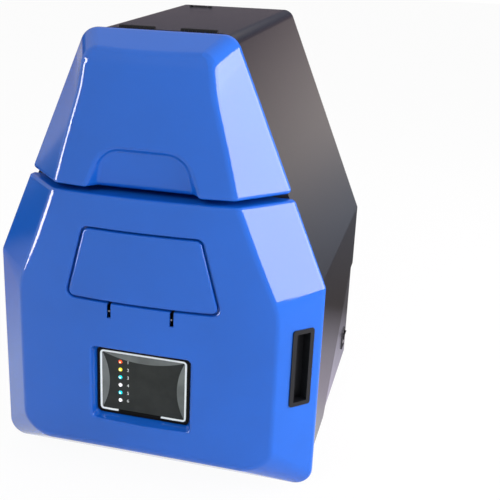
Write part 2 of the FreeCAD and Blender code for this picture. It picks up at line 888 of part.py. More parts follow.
def fan_guard():
    """The wire guard outside the rear panel."""
    level = cover_rear + guard_reach - guard_wire
    way = FreeCAD.Vector(0, 1, 0)
    rings = [Part.makeTorus(radius, guard_wire, FreeCAD.Vector(0, level, fan_z), way)
             for radius in (10, 19, 28, 37)]
    reach = fan_corners()[3][0]
    bars = []
    for x, z in fan_corners():
        length = math.hypot(reach, reach)
        start = FreeCAD.Vector(0, level - 0.6, fan_z)
        bars.append(Part.makeCylinder(guard_wire, length, start, FreeCAD.Vector(x, 0, z - fan_z)))
        eye = rod(x, cover_rear, z, 4.2, level - cover_rear + guard_eye_rise, "y")
        bars.append(eye.cut(rod(x, cover_rear - 1, z, 2.0, guard_reach + 2, "y")))
    guard = rings[0].fuse(rings[1:] + bars)
    return guard.cut([rod(x, cover_rear - 1, z, 2.0, guard_reach + 4, "y") for x, z in fan_corners()])


def fan_screws():
    """Four long screws through the guard and panel into the fan housing."""
    screws = []
    seat = cover_rear + guard_reach - guard_wire + guard_eye_rise
    for x, z in fan_corners():
        head = rod(x, seat, z, screw_head, fan_head, "y")
        head = head.makeFillet(1.0, edges_where(head, lambda box: box.YMin > seat + fan_head - 0.1))
        screws.append(joined(head, rod(x, seat - 20, z, 1.55, 20, "y")))
    return group(screws)


# Power switch
def body_y(grow):
    """Half width of the switch's body."""
    return switch_width / 2 - 1.2 + grow


def body_z(grow):
    """Half height of the switch's body."""
    return switch_height / 2 - 1.2 + grow


def switch_frame():
    """The switch's collar and its body behind the chassis wall."""
    half_y, half_z = switch_width / 2, switch_height / 2
    collar = prism(rectangle(switch_y - half_y, switch_y + half_y, switch_z - half_z, switch_z + half_z),
                   2, "yz", wall_x, wall_x + switch_bezel)
    collar = collar.makeChamfer(0.6, edges_where(collar, lambda box: box.XMin > wall_x + switch_bezel - 0.1))
    body = block(wall_x - 16, wall_x, switch_y - body_y(0), switch_y + body_y(0),
                 switch_z - body_z(0), switch_z + body_z(0))
    room = block(wall_x - 14, wall_x + 5, switch_y - body_y(-1.3), switch_y + body_y(-1.3),
                 switch_z - body_z(-1.3), switch_z + body_z(-1.3))
    axle = rod(wall_x - 2, switch_y - body_y(-0.5), switch_z, 1.2 + hinge_play, 2 * body_y(-0.5), "y")
    return joined(collar, body).cut([room, axle])


def power_rocker():
    """The rocker, tilted to its off side."""
    half = switch_width / 2 - 3.0
    tall = 10.2
    points = [(wall_x + 2.6, switch_z - tall), (wall_x + 1.2, switch_z), (wall_x + 2.6, switch_z + tall),
              (wall_x - 6, switch_z + 6.5), (wall_x - 6, switch_z - 6.5)]
    rocker = prism(points, [0.8, 0, 0.8, 1, 1], "xz", switch_y - half, switch_y + half)
    axle = rod(wall_x - 2, switch_y - body_y(-0.6), switch_z, 1.2, 2 * body_y(-0.6), "y")
    rocker = joined(rocker, axle)
    rocker.rotate(FreeCAD.Vector(wall_x - 2, 0, switch_z), FreeCAD.Vector(0, 1, 0), rocker_rest)
    return rocker


# Hinges
def knuckles(x, y, z, axis, radius, length, phase, leaf, tab):
    """One half of a hinge: every other knuckle, their tabs and the leaf, with the pin's bore."""
    pitch = length / hinge_knuckles
    step = {"x": (1, 0, 0), "z": (0, 0, 1)}[axis]
    pieces = [leaf]
    for k in range(phase, hinge_knuckles, 2):
        low = k * pitch + hinge_knuckle_gap / 2
        high = (k + 1) * pitch - hinge_knuckle_gap / 2
        place = (x + low * step[0], y, z + low * step[2])
        pieces.append(rod(*place, radius, high - low, axis))
        pieces.append(tab(low, high))
    bore = rod(x - step[0], y, z - step[2], hinge_pin_radius + hinge_play, length + 2, axis)
    return joined(pieces[0], *pieces[1:]).cut(bore)


def upper_hinge(phase):
    """The right top hinge's leaf: even knuckles on the cabinet, odd ones on the door."""
    x0, x1 = upper_hinge_inner, upper_hinge_inner + upper_hinge_length
    if phase:
        high = strip_low()
        far, near = upper_hinge_y - upper_leaf_reach, upper_hinge_y - upper_hinge_clear
    else:
        high = top_z - sheet
        far, near = upper_hinge_y + upper_leaf_reach, upper_hinge_y + upper_hinge_clear
    front, back = min(far, near), max(far, near)
    leaf = block(x0, x1, front, back, high - hinge_leaf, high)

    def tab(low, top):
        a, b = min(near, upper_hinge_y), max(near, upper_hinge_y)
        return block(x0 + low, x0 + top, a, b, high - hinge_leaf, high)
    return knuckles(x0, upper_hinge_y, upper_hinge_z, "x", upper_hinge_radius, upper_hinge_length,
                    phase, leaf, tab)


def lower_hinge(phase, low):
    """A lower door hinge's leaf: even knuckles on the cabinet, odd ones on the door."""
    z0, z1 = base_z + low, base_z + low + lower_hinge_length
    if phase:
        leaf = block(lower_hinge_x + 2.8, lower_hinge_x + 2.8 + lower_leaf_reach,
                     door_back, door_back + hinge_leaf, z0, z1)

        def tab(a, b):
            return block(lower_hinge_x, lower_hinge_x + 2.8, door_back, door_back + hinge_leaf,
                         z0 + a, z0 + b)
    else:
        face = -waist_half
        leaf = block(face - hinge_leaf, face, lower_hinge_y + hinge_clear,
                     lower_hinge_y + hinge_clear + upper_leaf_reach, z0, z1)

        def tab(a, b):
            return block(face - hinge_leaf, face, lower_hinge_y, lower_hinge_y + hinge_clear,
                         z0 + a, z0 + b)
    return knuckles(lower_hinge_x, lower_hinge_y, z0, "z", hinge_radius, lower_hinge_length,
                    phase, leaf, tab)


def hinge_leaves_fixed():
    """The cabinet's halves of all four hinges."""
    top = upper_hinge(0)
    sides = [lower_hinge(0, low) for low in (lower_hinge_low, lower_hinge_high)]
    return group([top, mirrored(top)] + sides)


def hinge_pins():
    """The four hinge pins."""
    top = rod(upper_hinge_inner, upper_hinge_y, upper_hinge_z, hinge_pin_radius, upper_hinge_length, "x")
    pins = [top, mirrored(top)]
    for low in (lower_hinge_low, lower_hinge_high):
        pins.append(rod(lower_hinge_x, lower_hinge_y, base_z + low, hinge_pin_radius,
                        lower_hinge_length, "z"))
    return group(pins)


# Upper door
def strip_low():
    """Underside of the strip that joins the upper door to its hinges."""
    return top_z - sheet - 0.5


def scoop_points(grow):
    """The scoop's corners: wide and open at the door's bottom, narrower at the top."""
    return trapezoid(scoop_half_bottom, scoop_half_top, upper_low - 6, base_z + scoop_top, grow)


def scoop_floor_at(z):
    """Depth of the scoop's sloping floor at a height."""
    run = (scoop_floor_bottom - scoop_floor_top) / (base_z + scoop_top - upper_low)
    return door_back - scoop_floor_bottom + run * (z - upper_low)


def scoop_space(behind):
    """Everything in front of the scoop's sloping floor and flared walls, moved back by a wall."""
    back = door_back - scoop_floor_bottom + behind + 1
    front = door_back - door_depth - 4
    flare = (back - front) * scoop_slope
    space = lofted(scoop_points(behind), [0, 0, scoop_floor_round, scoop_floor_round], back,
                   scoop_points(behind + flare), [0, 0, scoop_rim_round, scoop_rim_round], front)
    low, high = upper_low - 20, base_z + scoop_top + 30
    floor = [(front - 5, low), (scoop_floor_at(low) + behind, low),
             (scoop_floor_at(high) + behind, high), (front - 5, high)]
    return space.common(prism(floor, 0, "yz", -100, 100))


def scooped(form):
    """A door form with the finger scoop cut in, its rim and its floor's edge rounded."""
    skin = form.Shells[0]
    space = scoop_space(0)
    room = space.BoundBox
    room.enlarge(10)
    room.ZMin = upper_low - 0.1
    cut = form.cut(space).removeSplitter()
    cut = rounded(cut, scoop_edge_round, rim_of(cut, skin, room))

    def around_floor(box, edge):
        middle = edge.valueAt((edge.FirstParameter + edge.LastParameter) / 2)
        on_floor = abs(middle.y - scoop_floor_at(middle.z)) < 0.05 and box.ZMax > upper_low + 0.1
        return on_floor and room.isInside(box) and crease_angle(cut, edge) > 8
    return rounded(cut, scoop_edge_round, around_floor)


def upper_door_shell():
    """The crowned and bevelled upper door with its finger scoop."""
    low, high = upper_low, upper_high
    form = door_form(low, high, 0, True)
    form = rounded(form, crease_round, creases(form, low, high))
    form = rounded(form, upper_rim_round, rims(form, low, high))
    form = rounded(form, lip_round, lips(form, low, high))
    hollow = door_form(low, high, door_wall, True).cut(scoop_space(door_wall))
    return scooped(form).cut(hollow).removeSplitter()


def upper_door_liner():
    """The upper door's inner sheet, with the strip that reaches back to the hinges."""
    plate = liner_plate(upper_low, upper_high, True)
    low = strip_low()
    strip = block(-door_strip_half, door_strip_half, door_back - liner_sheet, strip_back, low, low + sheet)
    slot = block(upper_hinge_inner - fit, upper_hinge_inner + upper_hinge_length + fit,
                 upper_hinge_y - upper_hinge_clear - 0.1, upper_hinge_y + 5, low - 1, low + 5)
    return joined(plate, strip).cut([slot, mirrored(slot)])


def upper_hinge_leaves():
    """The upper door's halves of the top hinges."""
    leaf = upper_hinge(1)
    return group([leaf, mirrored(leaf)])


# Lower door
def push_points(grow):
    """The push door's corners."""
    return trapezoid(push_half_bottom, push_half_top, push_low_z, push_high_z, grow)


def window_points(grow):
    """The corners of the opening behind the push door."""
    slant = (push_half_bottom - push_half_top) / (push_top - push_bottom)
    edge = window_ledge * math.hypot(1, slant)
    low, high = push_low_z + window_ledge, push_high_z - window_top_ledge
    half_low = push_half_bottom - window_ledge * slant - edge
    half_high = push_half_top + window_top_ledge * slant - edge
    return trapezoid(half_low, half_high, low, high, grow)


def panel_points(grow):
    """The indicator panel's corners."""
    return rectangle(-panel_half_width - grow, panel_half_width + grow,
                     panel_low_z - grow, panel_high_z + grow)


def arm_slots():
    """Slots for the push door's two arms."""
    slots = []
    for side in (-1, 1):
        x = side * arm_spread
        slots.append(block(x - arm_slot_width / 2, x + arm_slot_width / 2, door_back - door_depth - 5,
                           window_front + 3, push_low_z - arm_slot_drop, push_low_z + arm_slot_rise))
    return slots


def pull_frame(points, radii, low, high):
    """A solid standing on the right bevel: outline across it, levels square to it."""
    run, depth = waist_half + rim_overhang - crease_half, bevel_depth - rim_straight
    shape = prism(points, radii, "xz", -high, -low)
    turn = math.degrees(math.atan2(depth, run))
    shape.rotate(FreeCAD.Vector(0, 0, 0), FreeCAD.Vector(0, 0, 1), turn)
    x = waist_half + rim_overhang - pull_offset
    y = door_back - rim_straight - pull_offset * depth / run
    shape.translate(FreeCAD.Vector(x, y, base_z + pull_middle))
    return shape


def pull_outline(shrink):
    """The pull handle's outline across its bevel."""
    half_u, half_v = pull_width / 2 - shrink, pull_height / 2 - shrink
    return rectangle(-half_u, half_u, -half_v, half_v), max(pull_round - shrink, 0.5)


def pull_handle():
    """The recessed pull: a flange on the bevel and a deep cup behind it."""
    flange = pull_frame(*pull_outline(0), 0, pull_flange)
    cup = pull_frame(*pull_outline(pull_border), -pull_depth, 0)
    well = pull_frame(*pull_outline(pull_border + pull_wall), -pull_depth + pull_wall, pull_flange + 1)
    return joined(flange, cup).cut(well)


def front_pocket(points, radius, depth):
    """A pocket straight into the door, with its floor parallel to the crowned front."""
    pocket = prism(points, radius, "xz", door_back - door_depth - 5, door_back)
    return pocket.cut(crown_front(depth))


def recess_space(grow, behind):
    """The indicator recess: flared from the panel's seat out to the door's front."""
    front = door_back - door_depth - 5
    radii = [panel_round] * 4
    return lofted(panel_points(grow), radii, panel_floor + behind,
                  panel_points(grow + panel_slope), radii, front)


def lower_door_shell():
    """The lower door with its pockets for the push door, indicators and pull."""
    low, high = lower_low, lower_high
    form = door_form(low, high, 0, False)
    form = rounded(form, crease_round, creases(form, low, high))
    form = rounded(form, lip_round, lips(form, low, high))
    form = rounded(form, rim_side_round, rims(form, low, high))
    rim = push_gap + door_wall
    ledge = prism(push_points(rim), push_round + rim, "xz", door_back - door_depth - 5, door_back)
    ledge = ledge.common(form).cut(crown_front(ledge_inset + door_wall))
    tray = recess_space(fit + door_wall, door_wall).common(form)
    skin = form.Shells[0]
    pocket = front_pocket(push_points(push_gap), push_round + push_gap, ledge_inset)
    outer = form.cut([pocket, recess_space(fit, 0)]).removeSplitter()
    outer = rounded(outer, pocket_edge_round, rim_of(outer, skin, pocket.BoundBox))
    outer = rounded(outer, recess_edge_round, rim_of(outer, skin, recess_room()))
    hollow = door_form(low, high, door_wall, False).cut([ledge, tray])
    window = prism(window_points(0), 3, "xz", door_back - door_depth - 5, door_back)
    hole = pull_frame(*pull_outline(pull_border - fit), -pull_depth - 5, 5)
    latch_hole = rod(0, door_back - door_depth - 5, latch_z, 2.5 + 0.3, 30, "y")
    return outer.cut([hollow, window, hole, latch_hole] + arm_slots()).removeSplitter()


def recess_room():
    """The box that holds the indicator recess's edge."""
    edge = fit + panel_slope + 5
    return block(-panel_half_width - edge, panel_half_width + edge, door_back - door_depth - 5, door_back,
                 panel_low_z - edge, panel_high_z + edge).BoundBox


def lower_door_liner():
    """The lower door's inner sheet with a tunnel forward to the viewing window."""
    plate = liner_plate(lower_low, lower_high, False)
    tunnel = prism(window_points(window_lap), 4, "xz", window_rear, door_back)
    hole = prism(window_points(window_lap - liner_sheet), 3, "xz", window_rear - 5, door_back + 5)
    return joined(plate, tunnel).cut(hole)


def lower_hinge_leaves():
    """The lower door's halves of its two hinges."""
    return group(lower_hinge(1, low) for low in (lower_hinge_low, lower_hinge_high))


def viewing_window():
    """The clear filter pane behind the push door."""
    return prism(window_points(window_lap), 4, "xz", window_front, window_rear)


def led_places():
    """Heights of the indicator lamps, from the top down."""
    return [panel_high_z - led_first_drop - led_pitch * k for k in range(led_count)]


def indicator_panel():
    """The indicator plate with a raised border and holes for its lamps."""
    plate = prism(panel_points(0), panel_round, "xz", panel_face, panel_floor)
    dish = prism(panel_points(-5), 3, "xz", panel_face - 1, panel_face + 0.6)
    holes = [rod(-led_side, panel_face - 1, z, led_radius + 0.05, 5, "y") for z in led_places()]
    return plate.cut([dish] + holes)


def indicator_leds():
    """Six round lamps standing a little proud of the plate."""
    lamps = []
    for z in led_places():
        lamp = rod(-led_side, panel_face - led_proud, z, led_radius, panel_thick + led_proud, "y")
        tip = edges_where(lamp, lambda box: box.YMax < panel_face - led_proud + 0.1)
        lamps.append(lamp.makeFillet(1.2, tip))
    return group(lamps)


def latch_body():
    """The touch latch's housing behind the pocket's top ledge."""
    front = door_back - door_depth + ledge_inset + door_wall
    body = block(-9, 9, front + 0.05, front + 17, latch_z - 5.5, latch_z + 5.5)
    body = body.common(crown_front(ledge_inset + door_wall))
    return body.cut(rod(0, front - 5, latch_z, 2.5 + hinge_play, 18, "y"))


def latch_plunger():
    """The latch's sprung plunger, just short of the push door."""
    tip = door_back - door_depth + push_thick + 0.35
    back = door_back - door_depth + ledge_inset + door_wall + 9
    pin = rod(0, tip, latch_z, 2.5, back - tip, "y")
    return pin.makeFillet(0.8, edges_where(pin, lambda box: box.YMax < tip + 0.1))


def push_door_brackets():
    """Two forks behind the shell that hold the push door's pivots."""
    forks = []
    for side in (-1, 1):
        x = side * arm_spread
        inner, outer = 3.0, 5.2
        cheeks = [block(x - outer, x - inner, door_back - door_depth, pivot_y + 5, pivot_z - 19, pivot_z + 4),
                  block(x + inner, x + outer, door_back - door_depth, pivot_y + 5, pivot_z - 19, pivot_z + 4),
                  block(x - outer, x + outer, door_back - door_depth, pivot_y - 3, pivot_z - 19, pivot_z - 7)]
        fork = joined(cheeks[0], *cheeks[1:]).common(crown_front(door_wall))
        forks.append(joined(fork, rod(x - outer, pivot_y, pivot_z, pivot_pin_radius, 2 * outer, "x")))
    return group(forks)


def push_door():
    """The curved push door over the viewing window."""
    door = prism(push_points(0), push_round, "xz", door_back - door_depth - 5, door_back)
    door = door.common(crown_front(0)).cut(crown_front(push_thick))
    front_edges = [edge for edge in door.Edges if crown_depth(edge) < 0.2]
    door = door.makeFillet(push_edge_round, front_edges)
    heel = door_back - door_depth + push_thick - 1
    wedge = [(heel, push_low_z - 1), (heel, push_low_z), (heel + 2, push_low_z + 2),
             (heel + 20, push_low_z + 2), (heel + 20, push_low_z - 1)]
    return door.cut(prism(wedge, 0, "yz", -push_half_bottom - 5, push_half_bottom + 5))


def crown_depth(edge):
    """How far an edge's middle lies behind the doors' crowned front."""
    point = edge.valueAt((edge.FirstParameter + edge.LastParameter) / 2)
    axis_y = door_back - door_depth + crown_radius
    return crown_radius - math.hypot(point.x, point.y - axis_y)


def push_door_arms():
    """Two gooseneck arms from the push door's back down to its pivots."""
    arms = []
    front = door_back - door_depth
    for side in (-1, 1):
        x = side * arm_spread
        low, high = x - arm_thick / 2, x + arm_thick / 2
        back = pivot_y + 1.9
        stem = [(pivot_y - 2.4, pivot_z), (back, pivot_z), (back, push_low_z + 15), (front, push_low_z + 15),
                (front, push_low_z + 4), (pivot_y - 2.4, push_low_z + 4)]
        arm = prism(stem, [0, 0, 2, 0, 0, 2], "yz", low, high)
        eye = rod(low, pivot_y, pivot_z, 3.0, arm_thick, "x")
        arm = joined(arm, eye).common(crown_front(push_thick))
        arms.append(arm.cut(rod(low - 1, pivot_y, pivot_z, pivot_pin_radius + hinge_play, arm_thick + 2, "x")))
    return group(arms)


# Transilluminator in the chamber
def light_pivot():
    """Depth and height of the white light table's hinge."""
    return case_front + case_depth + 8, case_top + table_thick / 2 + 0.6


def transilluminator_case():
    """The lamp box on the chamber's floor, with ears for the white light table."""
    y0, y1 = case_front, case_front + case_depth
    box = block(-case_half, case_half, y0, y1, floor_z, case_top)
    room = block(-case_half + case_wall, case_half - case_wall, y0 + case_wall, y1 - case_wall,
                 floor_z + case_wall, case_top - case_wall)
    inner = glass_half - 4
    hole = block(-inner, inner, case_middle - inner, case_middle + inner, case_top - 10, case_top + 5)
    low = case_top - case_wall - glass_thick
    ledges = [block(-case_half + 0.5, case_half - 0.5, case_middle + side * inner if side > 0 else y0 + 0.5,
                    y1 - 0.5 if side > 0 else case_middle - inner, low - case_wall, low)
              for side in (-1, 1)]
    box = box.cut([room, hole]).fuse(ledges)
    y, z = light_pivot()
    for side in (-1, 1):
        x = side * 104.5
        ear = block(x - 2, x + 2, y1 - 4, y + 5, case_top - 16, z + 5)
        box = box.fuse(ear).cut(rod(x - 5, y, z, 2.0 + hinge_play, 10, "x"))
    slots = [block(-60 + 20 * k, -48 + 20 * k, y1 - 5, y1 + 5, floor_z + 20, floor_z + 24) for k in range(6)]
    return box.cut(slots).removeSplitter()


def uv_filter_glass():
    """The dark filter glass under the case's top."""
    high = case_top - case_wall
    return block(-glass_half, glass_half, case_middle - glass_half, case_middle + glass_half,
                 high - glass_thick, high)


def tube_rows():
    """Depths of the lamp tubes."""
    pitch = 33.0
    return [case_middle + (k - (tube_count - 1) / 2) * pitch for k in range(tube_count)]


def uv_tubes():
    """The fluorescent tubes."""
    z = floor_z + tube_rise
    return group(rod(-tube_length / 2, y, z, tube_radius, tube_length, "x") for y in tube_rows())


def tube_sockets():
    """Two socket bars that carry the tubes' ends."""
    z = floor_z + tube_rise
    bars = []
    for side in (-1, 1):
        x0 = tube_length / 2 - 3 if side > 0 else -tube_length / 2 - 5
        bar = block(x0, x0 + 8, case_front + 6, case_front + case_depth - 6, floor_z + case_wall, z + 11)
        bore0 = tube_length / 2 - 4 if side > 0 else -tube_length / 2
        bars.append(bar.cut([rod(bore0, y, z, tube_radius + 0.1, 4, "x") for y in tube_rows()]))
    return group(bars)


def uv_reflector():
    """The folded reflector under the tubes."""
    low, high = floor_z + 8, floor_z + 24
    thick = 0.8
    pitch = 33.0
    start = tube_rows()[0] - pitch / 2
    top = []
    for k in range(tube_count):
        top += [(start + k * pitch, high), (start + k * pitch + pitch / 3, low),
                (start + k * pitch + 2 * pitch / 3, low)]
    top.append((start + tube_count * pitch, high))
    under = [(y, z - thick) for y, z in reversed(top)]
    half = tube_length / 2 - 4
    sheet_part = prism(top + under, 0, "yz", -half, half)
    legs = [block(-half, half, y - 1, y + 1, floor_z + case_wall, high - 0.5)
            for y in (start + 1, start + tube_count * pitch - 1)]
    return joined(sheet_part, *legs)


def uv_ballast():
    """The ballast between the chamber and the right wall."""
    x0 = chamber_half + liner_wall + 3
    box = block(x0, wall_x - sheet - side_air, cover_front + 40, cover_front + 220, floor_z, floor_z + 28)
    return box.makeFillet(2, edges_where(box, lambda b: b.YLength > 170 and b.ZMin > floor_z + 20))


def white_light_table():
    """The folding white light table, upright at the back of the chamber."""
    y, z = light_pivot()
    half = 100.0
    length = 204.0
    panel = prism(rectangle(-half, half, z - table_thick / 2, z + length), 3, "xz",
                  y - table_thick / 2, y + table_thick / 2)
    dish = prism(rectangle(-half + 8, half - 8, z + 10, z + length - 8), 2, "xz",
                 y - table_thick, y - table_thick / 2 + 0.8)
    pins = [rod(half - 2, y, z, 2.0, 9, "x"), rod(-half - 7, y, z, 2.0, 9, "x")]
    return joined(panel.cut(dish), *pins)


def light_bars(front):
    """Two lamp bars under the camera shelf, along the chamber's top corners."""
    y0 = frame_back + 20 if front else frame_back + 130
    points = [(chamber_half - 14, shelf_z), (chamber_half, shelf_z), (chamber_half, shelf_z - 14),
              (chamber_half - 5, shelf_z - 14), (chamber_half - 14, shelf_z - 5)]
    bar = prism(points, 0, "xz", y0, y0 + 100)
    return group([bar, mirrored(bar)])


def power_supply():
    """The power supply between the chamber and the left wall."""
    x1 = -(chamber_half + liner_wall + 0.8)
    x0 = -(wall_x - sheet - supply_air)
    box = block(x0, x1, cover_front + 130, cover_front + 280, floor_z, floor_z + 95)
    slots = [block(x0 + 6, x1 - 6, cover_front + 140 + 12 * k, cover_front + 146 + 12 * k,
                   floor_z + 93, floor_z + 96) for k in range(11)]
    return box.cut(slots)


def board_rear():
    """Front face of the control board."""
    return chamber_rear + liner_wall + 6


def board_corners():
    """Places of the control board's fixings."""
    return [(x, z) for x in (60, 130) for z in (floor_z + 34, floor_z + 130)]


def control_board():
    """The control board with its larger parts."""
    y = board_rear()
    board = block(54, 136, y, y + 1.6, floor_z + 28, floor_z + 136)
    parts = [block(64, 84, y + 1.6, y + 5, floor_z + 50, floor_z + 70),
             block(92, 106, y + 1.6, y + 4, floor_z + 50, floor_z + 64),
             block(110, 128, y + 1.6, y + 13, floor_z + 90, floor_z + 102),
             rod(74, y + 1.6, floor_z + 92, 6, 16, "y"), rod(92, y + 1.6, floor_z + 92, 6, 16, "y"),
             block(62, 104, y + 1.6, y + 9, floor_z + 112, floor_z + 120)]
    holes = [rod(x, y - 1, z, 1.6, 4, "y") for x, z in board_corners()]
    return joined(board, *parts).cut(holes)


def board_standoffs():
    """Four posts between the chamber's back and the control board."""
    start = chamber_rear + liner_wall
    posts = []
    for x, z in board_corners():
        post = rod(x, start, z, 3.0, board_rear() - start, "y")
        posts.append(joined(post, rod(x, board_rear(), z, 1.5, 3, "y")))
    return group(posts)


def interlock_sensor():
    """The door interlock sensor behind the frame."""
    x = opening_half + 8
    box = block(x, x + 10, frame_back, frame_back + 14, base_z + 250, base_z + 278)
    return box.makeChamfer(1.5, edges_where(box, lambda b: b.ZLength > 20 and b.YMin > frame_back + 10))


# Camera and lens
def filter_guide():
    """Rails for the filter slide, with the plate that carries the camera bracket."""
    low, mid, high = shelf_top, shelf_top + 10.5, shelf_top + 12.5
    reach = filter_radius + 8
    x0, x1 = -reach - filter_travel, reach
    rails = []
    for side in (-1, 1):
        a, b = sorted((side * (reach - 2), side * (reach + 4)))
        rail = block(x0, x1, lens_y + a, lens_y + b, low, mid)
        c, d = sorted((side * (reach - 3), side * (reach + fit)))
        rails.append(rail.cut(block(x0 - 1, x1 + 1, lens_y + c, lens_y + d, low + 3 - fit,
                                    low + 3 + filter_slide_thick + fit)))
    plate = block(-reach, reach, lens_y - reach - 4, lens_y + reach + 4, mid, high)
    plate = plate.cut(rod(0, lens_y, mid - 1, barrel_radius + 3, 5, "z"))
    return joined(plate, *rails)


def filter_slide():
    """The filter's carrier with a finger tab towards the front."""
    low = shelf_top + 3
    reach = filter_radius + 8
    plate = block(-reach + 2, reach - 2, lens_y - reach, lens_y + reach, low, low + filter_slide_thick)
    tab = block(-reach - 8, -reach + 3, lens_y - 12, lens_y + 12, low, low + filter_slide_thick)
    seat = rod(0, lens_y, low + 1, filter_radius, 10, "z")
    hole = rod(0, lens_y, low - 1, filter_radius - 2, 10, "z")
    return joined(plate, tab).cut([seat, hole])


def emission_filter():
    """The round emission filter."""
    return rod(0, lens_y, shelf_top + 4, filter_radius, filter_slide_thick - 1, "z")


def lens_low():
    """Lower end of the lens."""
    return shelf_top + 14.0


def lens_high():
    """Where the lens meets the camera."""
    return lens_low() + 72.0


def lens_rings():
    """Heights of the focus, zoom and iris rings."""
    low = lens_low()
    return [(low + 8, low + 26), (low + 30, low + 46), (low + 50, low + 62)]


def lens_barrel():
    """The lens, with collars between its rings and glass at the lower end."""
    low, high = lens_low(), lens_high()
    barrel = rod(0, lens_y, low, barrel_radius, high - low, "z")
    collars = [rod(0, lens_y, low, barrel_radius + 3, 7.6, "z")]
    for (a0, a1), (b0, b1) in zip(lens_rings(), lens_rings()[1:]):
        collars.append(rod(0, lens_y, a1 + fit, barrel_radius + 3, b0 - a1 - 2 * fit, "z"))
    collars.append(rod(0, lens_y, lens_rings()[2][1] + fit, barrel_radius + 3,
                       high - lens_rings()[2][1] - fit, "z"))
    bore = rod(0, lens_y, low - 1, barrel_radius - 3, 9, "z").cut(
        Part.makeSphere(40, FreeCAD.Vector(0, lens_y, low + 44)))
    return joined(barrel, *collars).cut(bore)


def lens_ring(index):
    """A knurled ring around the lens."""
    low, high = lens_rings()[index]
    outer = barrel_radius + ring_play + ring_wall - 0.8
    ring = rod(0, lens_y, low, outer, high - low, "z")
    ribs = []
    for k in range(24):
        rib = block(outer - 0.6, outer + 0.8, lens_y - 1.2, lens_y + 1.2, low + 2, high - 2)
        rib.rotate(FreeCAD.Vector(0, lens_y, 0), FreeCAD.Vector(0, 0, 1), 15 * k)
        ribs.append(rib)
    return joined(ring, *ribs).cut(rod(0, lens_y, low - 1, barrel_radius + ring_play, high - low + 2, "z"))


def camera_body():
    """The camera over the lens, with cooling fins and a connector."""
    low = lens_high()
    body = block(-camera_half, camera_half, lens_y - camera_half, lens_y + camera_half, low, low + camera_height)
    grooves = [block(-camera_half - 1, camera_half + 1, lens_y - camera_half - 1, lens_y - camera_half + 3,
                     low + 14 + 7 * k, low + 17 + 7 * k) for k in range(6)]
    plug = rod(0, lens_y, low + camera_height, 6, 5, "z")
    return joined(body.cut(grooves), plug)


def camera_bracket():
    """The bracket that stands on the filter guide and holds the camera."""
    low = shelf_top + 12.5
    high = lens_high() + 40
    base = block(-camera_half - 10, camera_half + 10, lens_y - 30, lens_y + 30, low, low + 1.4)
    base = base.cut(rod(0, lens_y, low - 1, barrel_radius + 4, 5, "z"))
    side = block(camera_half, camera_half + 2.5, lens_y - 18, lens_y + 18, low, high)
    rib = block(camera_half + 2, camera_half + 10, lens_y - 1.2, lens_y + 1.2, low, low + 30)
    return joined(base, side, mirrored(side), rib, mirrored(rib))


PIECES = {
    "base_chassis": base_chassis, "outer_cover": outer_cover, "rear_panel": rear_panel,
    "cover_screws": cover_screws, "rubber_feet": rubber_feet, "front_frame": front_frame,
    "chamber_liner": chamber_liner, "camera_shelf": camera_shelf, "top_port": top_port,
    "top_port_screws": top_port_screws, "power_inlet": power_inlet, "switch_frame": switch_frame,
    "power_rocker": power_rocker, "fan_frame": fan_frame, "fan_rotor": fan_rotor,
    "fan_guard": fan_guard, "fan_screws": fan_screws, "hinge_leaves_fixed": hinge_leaves_fixed,
    "hinge_pins": hinge_pins, "door_gaskets": door_gaskets, "catch_magnets": catch_magnets,
    "interlock_sensor": interlock_sensor, "camera_bracket": camera_bracket,
    "camera_body": camera_body, "lens_barrel": lens_barrel,
    "lens_focus_ring": lambda: lens_ring(0), "lens_zoom_ring": lambda: lens_ring(1),
    "lens_iris_ring": lambda: lens_ring(2), "filter_guide": filter_guide,
    "filter_slide": filter_slide, "emission_filter": emission_filter,
    "transilluminator_case": transilluminator_case, "uv_filter_glass": uv_filter_glass,
    "uv_tubes": uv_tubes, "tube_sockets": tube_sockets, "uv_reflector": uv_reflector,
    "uv_ballast": uv_ballast, "white_light_table": white_light_table,
    "white_light_bars": lambda: light_bars(True), "blue_light_bars": lambda: light_bars(False),
    "power_supply": power_supply, "control_board": control_board, "board_standoffs": board_standoffs,
    "upper_door_shell": upper_door_shell, "upper_door_liner": upper_door_liner,
    "upper_hinge_leaves": upper_hinge_leaves, "upper_strikes": lambda: strikes(True),
    "lower_door_shell": lower_door_shell, "lower_door_liner": lower_door_liner,
    "lower_hinge_leaves": lower_hinge_leaves, "lower_strikes": lambda: strikes(False),
    "pull_handle": pull_handle, "indicator_panel": indicator_panel, "indicator_leds": indicator_leds,
    "viewing_window": viewing_window, "touch_latch": latch_body, "latch_plunger": latch_plunger,
    "push_door_brackets": push_door_brackets, "push_door": push_door, "push_door_arms": push_door_arms,
}


def main():
    """Build every piece and write each to its own file."""
    os.makedirs("parts", exist_ok=True)
    for name, make in PIECES.items():
        make().exportStep("parts/" + name + ".step")


if __name__ == "__main__":
    main()
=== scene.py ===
import json
import math

import bpy
from bpy.props import FloatProperty, FloatVectorProperty, PointerProperty
from mathutils import Matrix, Vector

